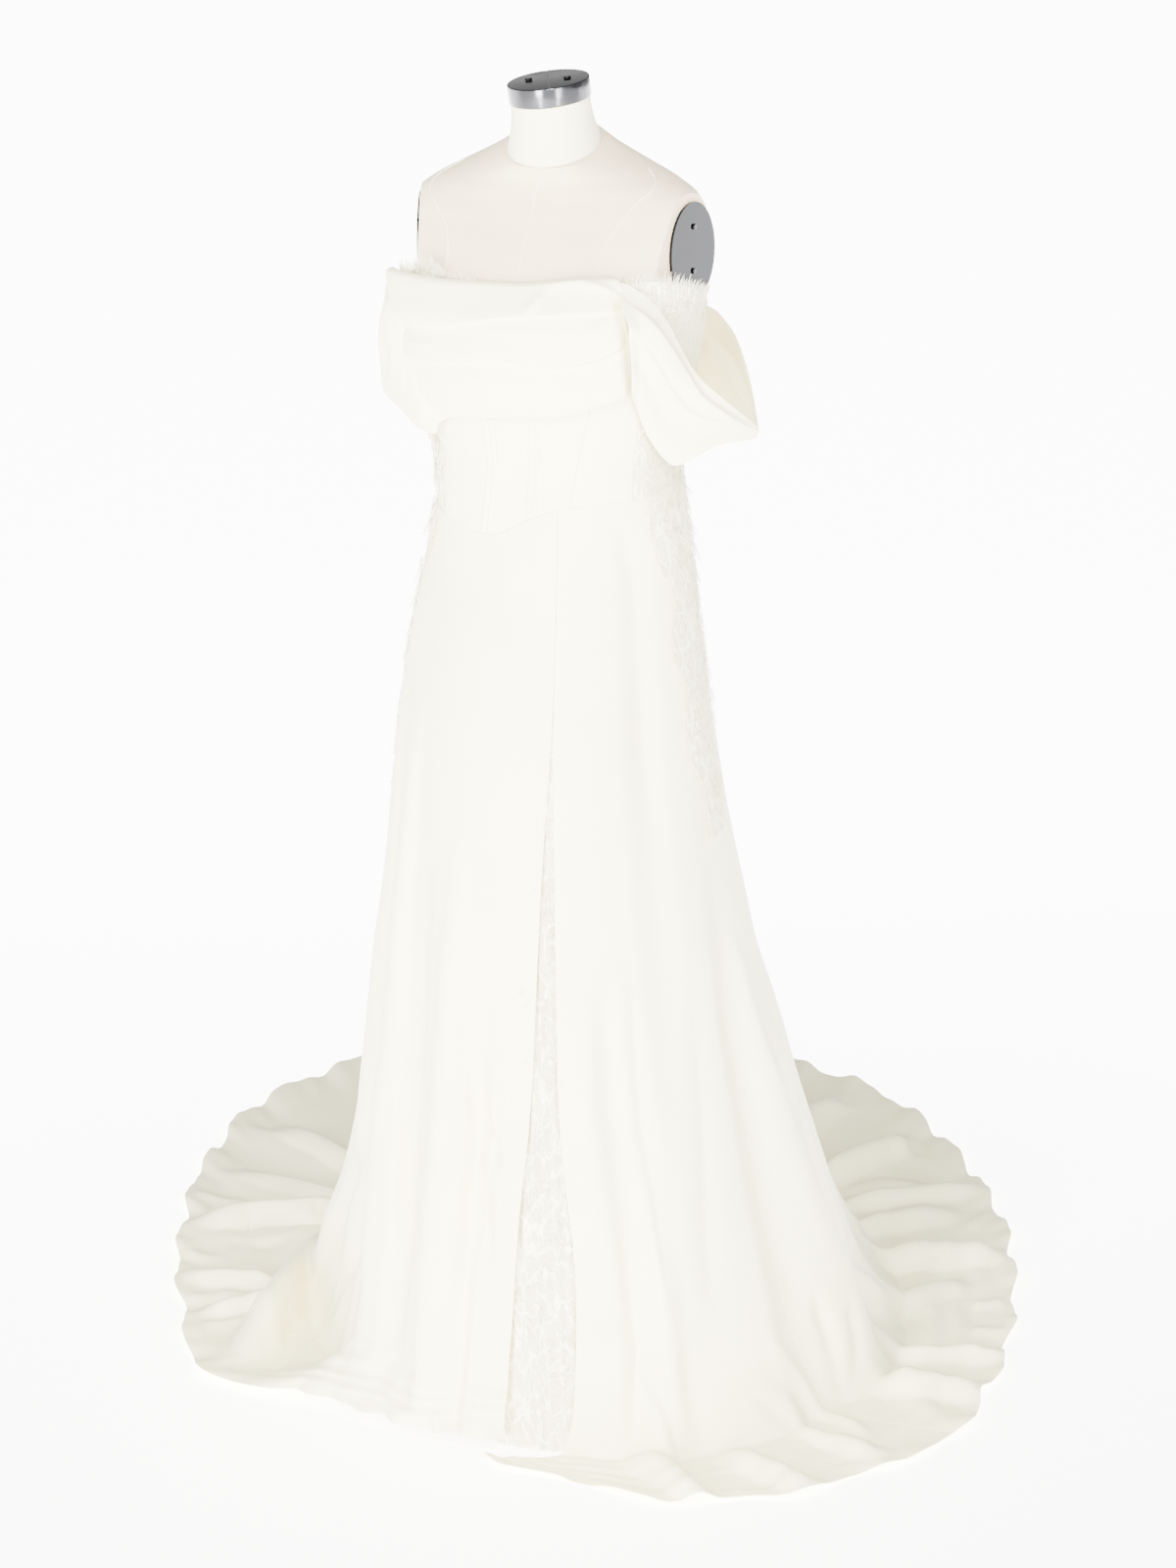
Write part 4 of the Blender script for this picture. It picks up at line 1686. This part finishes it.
def sway(share, amount, place, phase, margin):
    """Share across a strip of lace for a stem that sways along it and stays inside."""
    return min(max(share + amount * math.sin(place + phase), margin), 1.0 - margin)


def lace_vines(first_level, last_level, sides, mirrored, chance, count):
    """Leaves and flowers along wandering stems on the skirt, as places for the scatter."""
    leaves, flowers, lashes, spots = [], [], [], []
    for stem in range(count):
        share = (stem + 0.5) / count
        level = first_level
        phase = chance.uniform(0.0, math.tau)
        stop = last_level - chance.uniform(0.0, 0.05) * (0.4 + abs(share - 0.5))
        step = 0
        while level < stop:
            front, back = sides(level)
            lane = front + (back - front) * sway(share, 0.10, level * 70.0, phase, 0.02)
            spots.append((lane, level, step))
            level += 0.0050
            step += 1
    for side in (0, 1):
        level = first_level
        while level < last_level:
            spots.append((sides(level)[side], level, -1 - side))
            level += 0.0016
    lanes = [360.0 - spot[0] if mirrored else spot[0] for spot in spots]
    places = on_skirt(lanes, [spot[1] for spot in spots], 0.0016)
    for (_, _, step), *place in zip(spots, *places):
        point, across, down, normal = (Vector(value) for value in place)
        if step < 0:
            out = across * (-1.0 if (step == -1) != mirrored else 1.0)
            for _ in range(3):
                stray = out * chance.uniform(0.5, 1.2) + down * chance.uniform(0.1, 0.9) + normal * 0.25
                lashes.append((point, across, stray, 0.0095))
            continue
        swing = 0.75 if step % 2 else -0.75
        ahead = down * 0.8 + across * (swing + chance.gauss(0.0, 0.2))
        leaves.append((point, ahead, normal + across * chance.gauss(0.0, 0.2), 0.0215))
        if step % 9 == 2:
            flowers.append((point + normal * 0.0004, across, normal, 0.0055))
        if step % 2 == 0:
            stray = down * 0.9 + across * chance.uniform(-1.0, 1.0) + normal * 0.35
            lashes.append((point, across, stray, 0.011))
    return leaves, flowers, lashes


def make_hip_lace(name, mirrored):
    table = HIP_LACE
    first, last = 0.0015, table[-1][0]

    def sides(level):
        level = np.array([min(max(level, table[0][0]), last)])
        return table_column(table, 1, level)[0], table_column(table, 2, level)[0]

    rows, columns = 90, 40
    lanes, levels = [], []
    for level in np.linspace(first, last, rows + 1):
        front, back = sides(level)
        scallop = 1.6 * math.sin(level * 240.0)
        lane = np.linspace(front + scallop, back - scallop, columns + 1)
        lanes += list(360.0 - lane if mirrored else lane)
        levels += [level] * (columns + 1)
    inset = np.minimum(np.arange(columns + 1), columns - np.arange(columns + 1)) / 7.0
    row_inset = np.minimum(np.arange(rows + 1), rows - np.arange(rows + 1)) / 9.0
    lift = 0.0004 + 0.0007 * ease(0.0, 1.0, np.minimum(inset[None, :], row_inset[:, None]))
    outer = on_skirt(lanes, levels, lift.ravel())[0].reshape(rows + 1, columns + 1, 3)
    normal = sheet_normals(outer)
    piece = shell(name + "_net", outer, outer - normal * 0.0004, MATERIALS["laced_satin"])
    chance = random.Random(17 if mirrored else 23)
    leaves, flowers, lashes = lace_vines(first, last, sides, mirrored, chance, 6)
    carried = strew(name, (("leaves", leaves, "leaf", 0.25, 3), ("flowers", flowers, "flower", 0.2, 4),
                           ("lashes", lashes, "strand", 0.35, 8)))
    side = name.split("_")[2]
    panels = ["skirt_front_" + side, "skirt_back_" + side]
    keep(piece, [name], "ivory_lace", panels, "draped", outer, carried)


def make_side_lace(name, first, last):
    """Leaf vines on the lace side panels of the bodice."""
    chance = random.Random(31 if first > 0 else 37)
    leaves, flowers, lashes = [], [], []
    for stem in range(9):
        share = (stem + 0.5) / 9
        phase = chance.uniform(0.0, math.tau)
        height = 1.40
        step = 0
        while height > 1.172:
            azimuth = first + (last - first) * sway(share, 0.07, height * 60.0, phase, 0.02)
            if height < one(neckline, azimuth) - 0.012:
                point = one_point(azimuth, height, bodice_reach(0.0012))
                out, side = directions(azimuth)
                swing = 0.8 if step % 2 else -0.8
                ahead = Vector((0.0, 0.0, -0.8)) + side * (swing + chance.gauss(0.0, 0.2))
                leaves.append((point, ahead, out, 0.0210))
                if step % 9 == 1:
                    flowers.append((point, side, out, 0.0055))
                if step % 3 == 0:
                    stray = Vector((0.0, 0.0, -0.9)) + side * chance.uniform(-1.0, 1.0) + out * 0.3
                    lashes.append((point, side, stray, 0.010))
            height -= 0.0058
            step += 1
    strew(name, (("leaves", leaves, "leaf", 0.25, 9), ("flowers", flowers, "flower", 0.25, 9),
                 ("lashes", lashes, "strand", 0.25, 9)))


def slit_edge(lane, height, room):
    """Azimuth and radius of a point behind the slit's edge at a height."""
    levels = np.linspace(0.05, 0.60, 160)
    points = skirt_point(np.full(len(levels), lane), levels)
    level = np.interp(-height, -points[:, 2], levels)
    place = np.array([lane]), np.array([level])
    _, normal, _ = skirt_frame(*place)
    x, y, _ = (skirt_point(*place) - normal * (WALL + room))[0]
    return math.degrees(math.atan2(x, -y)), math.hypot(x, y)


def make_inset():
    rows, columns = 150, 34
    outer = empty_sheet(rows, columns)
    for row, height in enumerate(np.linspace(INSET_TOP, INSET_HEM, rows + 1)):
        reach, room = (table_column(INSET_LINES, column, np.array([height]))[0] for column in (1, 2))
        right = slit_edge(SLIT_LANE + 360.0 - reach, height, room + 0.0004)
        left = slit_edge(SLIT_LANE + reach, height, room + 0.0004)
        azimuth = np.linspace(right[0], left[0], columns + 1)
        radius = np.linspace(right[1], left[1], columns + 1)
        flute = 0.0016 * np.sin(azimuth * 1.9 + height * 14.0) * (1.0 - ease(0.80, 0.92, height))
        outer[row] = polar(azimuth, radius + flute, 0.0, height)
    normal = sheet_normals(outer)
    piece = shell("slit_inset_net", outer, outer - normal * 0.0006, MATERIALS["inset_lace"])
    chance = random.Random(41)
    leaves, flowers = [], []
    for stem in range(3):
        phase = chance.uniform(0.0, math.tau)
        height = 0.88
        step = 0
        while height > 0.03:
            row = int((INSET_TOP - height) / (INSET_TOP - INSET_HEM) * rows)
            column = int(sway((stem + 0.5) / 3.0, 0.12, height * 34.0, phase, 0.05) * columns)
            out = Vector(normal[row, column])
            point = Vector(outer[row, column]) + out * 0.0006
            side = Vector((-out.y, out.x, 0.0)).normalized()
            swing = 0.8 if step % 2 else -0.8
            width = float(np.linalg.norm(outer[row, -1] - outer[row, 0]))
            size = min(0.017, 0.42 * width)
            ahead = Vector((0.0, 0.0, -0.8)) + side * (swing + chance.gauss(0.0, 0.2))
            leaves.append((point, ahead, out, size))
            if step % 9 == 1:
                flowers.append((point, side, out, size * 0.35))
            height -= 0.0085
            step += 1
    carried = strew("slit_inset", (("leaves", leaves, "leaf", 0.25, 3),
                                   ("flowers", flowers, "flower", 0.2, 4)))
    keep(piece, ["slit_lace_inset"], "ivory_lace", ["skirt_front_right"], "hung", outer, carried)


# Stage


# name, distance before the dress, distance to the side, height, height aimed at, width, length, watts
LIGHTS = (
    ("left_softbox", 3.5, -1.8, 1.7, 1.1, 1.2, 2.8, 640.0),
    ("right_softbox", 3.5, 1.75, 1.6, 1.0, 1.1, 2.6, 190.0),
    ("top_softbox", 3.6, 0.0, 3.4, 0.8, 1.0, 1.0, 420.0),
    ("left_strip", 2.1, -1.0, 0.75, 1.5, 0.34, 1.5, 48.0),
    ("right_strip", 2.1, 1.0, 0.75, 1.5, 0.28, 1.5, 40.0),
)


def aim(item, place, target):
    """Put an object at a place and turn its -Z to a target."""
    item.location = place
    item.rotation_euler = (target - place).to_track_quat("-Z", "Y").to_euler()


def area_light(name, place, target, width, length, power):
    light = bpy.data.lights.new(name, "AREA")
    light.shape = "RECTANGLE"
    light.size = width
    light.size_y = length
    light.energy = power
    item = link(bpy.data.objects.new(name, light))
    aim(item, place, target)
    return item


def make_stage():
    bm = bmesh.new()
    bmesh.ops.create_grid(bm, x_segments=1, y_segments=1, size=60.0)
    material, tree, shader = new_material("studio_floor")
    set_inputs(shader, {"Base Color": (0.95, 0.95, 0.95, 1.0), "Roughness": 0.9, "Specular IOR Level": 0.1,
                        "Emission Strength": 9.0})
    ahead, side = directions(VIEW_AZIMUTH)
    place = node(tree, "TexCoord")
    behind = node(tree, "VectorMath", {1: -ahead}, operation="DOT_PRODUCT")
    join(place, "Object", behind, 0)
    glow = node(tree, "MapRange", {"From Min": -0.9, "From Max": 2.0, "To Min": 0.45, "To Max": 1.3})
    join(behind, "Value", glow, "Value")
    join(glow, "Result", shader, "Emission Color")
    floor = add_object("studio_floor", bm, material)
    floor.location = (0.0, 0.0, -0.0006)
    world = bpy.data.worlds.new("studio")
    bpy.context.scene.world = world
    world.use_nodes = True
    set_inputs(world.node_tree.nodes["Background"], {"Color": (1.0, 1.0, 1.0, 1.0), "Strength": 0.75})
    for name, before, beside, height, aimed, width, length, power in LIGHTS:
        place = ahead * before + side * beside + Vector((0.0, 0.0, height))
        area_light(name, place, Vector((0.0, 0.0, aimed)), width, length, power)
    camera = bpy.data.cameras.new("photo_view")
    camera.sensor_width = 36.0
    camera.sensor_fit = "AUTO"
    camera.lens = VIEW_LENS
    eye = link(bpy.data.objects.new("photo_view", camera))
    place = ahead * VIEW_DISTANCE + Vector((0.0, 0.0, VIEW_HEIGHT)) + side * VIEW_SHIFT
    aim(eye, place, Vector((0.0, 0.0, VIEW_TARGET_HEIGHT)) + side * VIEW_SHIFT)
    bpy.context.scene.camera = eye


remove_all()
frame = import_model()
HEM_RUN = hem_run()
SKIRT_TRACKS = crease_tracks(SKIRT_CREASES, skirt_point, LEAST_CREASE_WIDTH)
GROUPS = {"woven": woven_group(), "lace": lace_group(), "steel": steel_group(), "scatter": scatter_tree()}
MATERIALS = {
    "satin": cloth_material("crepe_satin", IVORY, IVORY_DEEP, 950.0, 0.12, 0.10, 0.50, 0.05),
    "laced_satin": lace_material("lace_on_satin", LACE_GROUND, 60.0, 0.8),
    "lace": lace_material("vine_lace", LACE_GROUND, 75.0, 0.8),
    "inset_lace": lace_material("inset_lace", LACE_GROUND, 60.0, 0.9),
    "thread": cloth_material("lace_thread", LACE_THREAD, IVORY_DEEP, 1500.0, 0.4, 0.05, 0.70, 0.10),
    "linen": cloth_material("form_linen_cloth", LINEN, LINEN_DEEP, 620.0, 0.45, 0.02, 0.85, 0.05),
    "linen_seam": cloth_material("form_linen_seam", NECK_CLOTH, LINEN, 620.0, 0.4, 0.02, 0.85, 0.05),
    "neck": cloth_material("neck_linen_cloth", NECK_CLOTH, NECK_CLOTH_DEEP, 620.0, 0.45, 0.02, 0.85, 0.05),
    "brushed": steel_material("cap_steel", (0.30, 0.30, 0.31), 0.16, 0.3),
    "polished": steel_material("plate_steel", (0.10, 0.10, 0.11), 0.10, 0.1),
    "base": cloth_material("base_paint_coat", (0.12, 0.12, 0.125), (0.10, 0.10, 0.10), 400.0, 0.1, 0.0,
                           0.45, 0.0),
}
MOTIFS = {"leaf": feather_motif("feather_motif", 6), "flower": flower_motif("flower_motif", 5),
          "strand": strand_motif("strand_motif")}

make_form()
make_bodice()
make_boning("boning_right_princess", "right_princess")
make_boning("boning_centre_front", "centre_front")
make_band()
make_swag("swag_left", LEFT_SWAG_FRONT, LEFT_SWAG_BACK, 1.6, 0.0)
make_swag("swag_right", RIGHT_SWAG_FRONT, RIGHT_SWAG_BACK, -8.0, 0.040)
for trim_name, (trim_first, trim_last, trim_count) in TRIM_RANGES.items():
    make_trim(trim_name, trim_first, trim_last, trim_count)
make_skirt()
for hip_name, is_mirrored in (("hip_lace_left", False), ("hip_lace_right", True)):
    make_hip_lace(hip_name, is_mirrored)
make_side_lace("side_lace_left", 62.0, 103.0)
make_side_lace("side_lace_right", -103.0, -60.0)
make_inset()
for motif in MOTIFS.values():
    bpy.data.objects.remove(motif, do_unlink=True)
make_stage()

for item, nodes, slot, rests_on, held, sheet, with_pieces in PIECES:
    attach(item, "root")
    if nodes:
        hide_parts(*nodes)
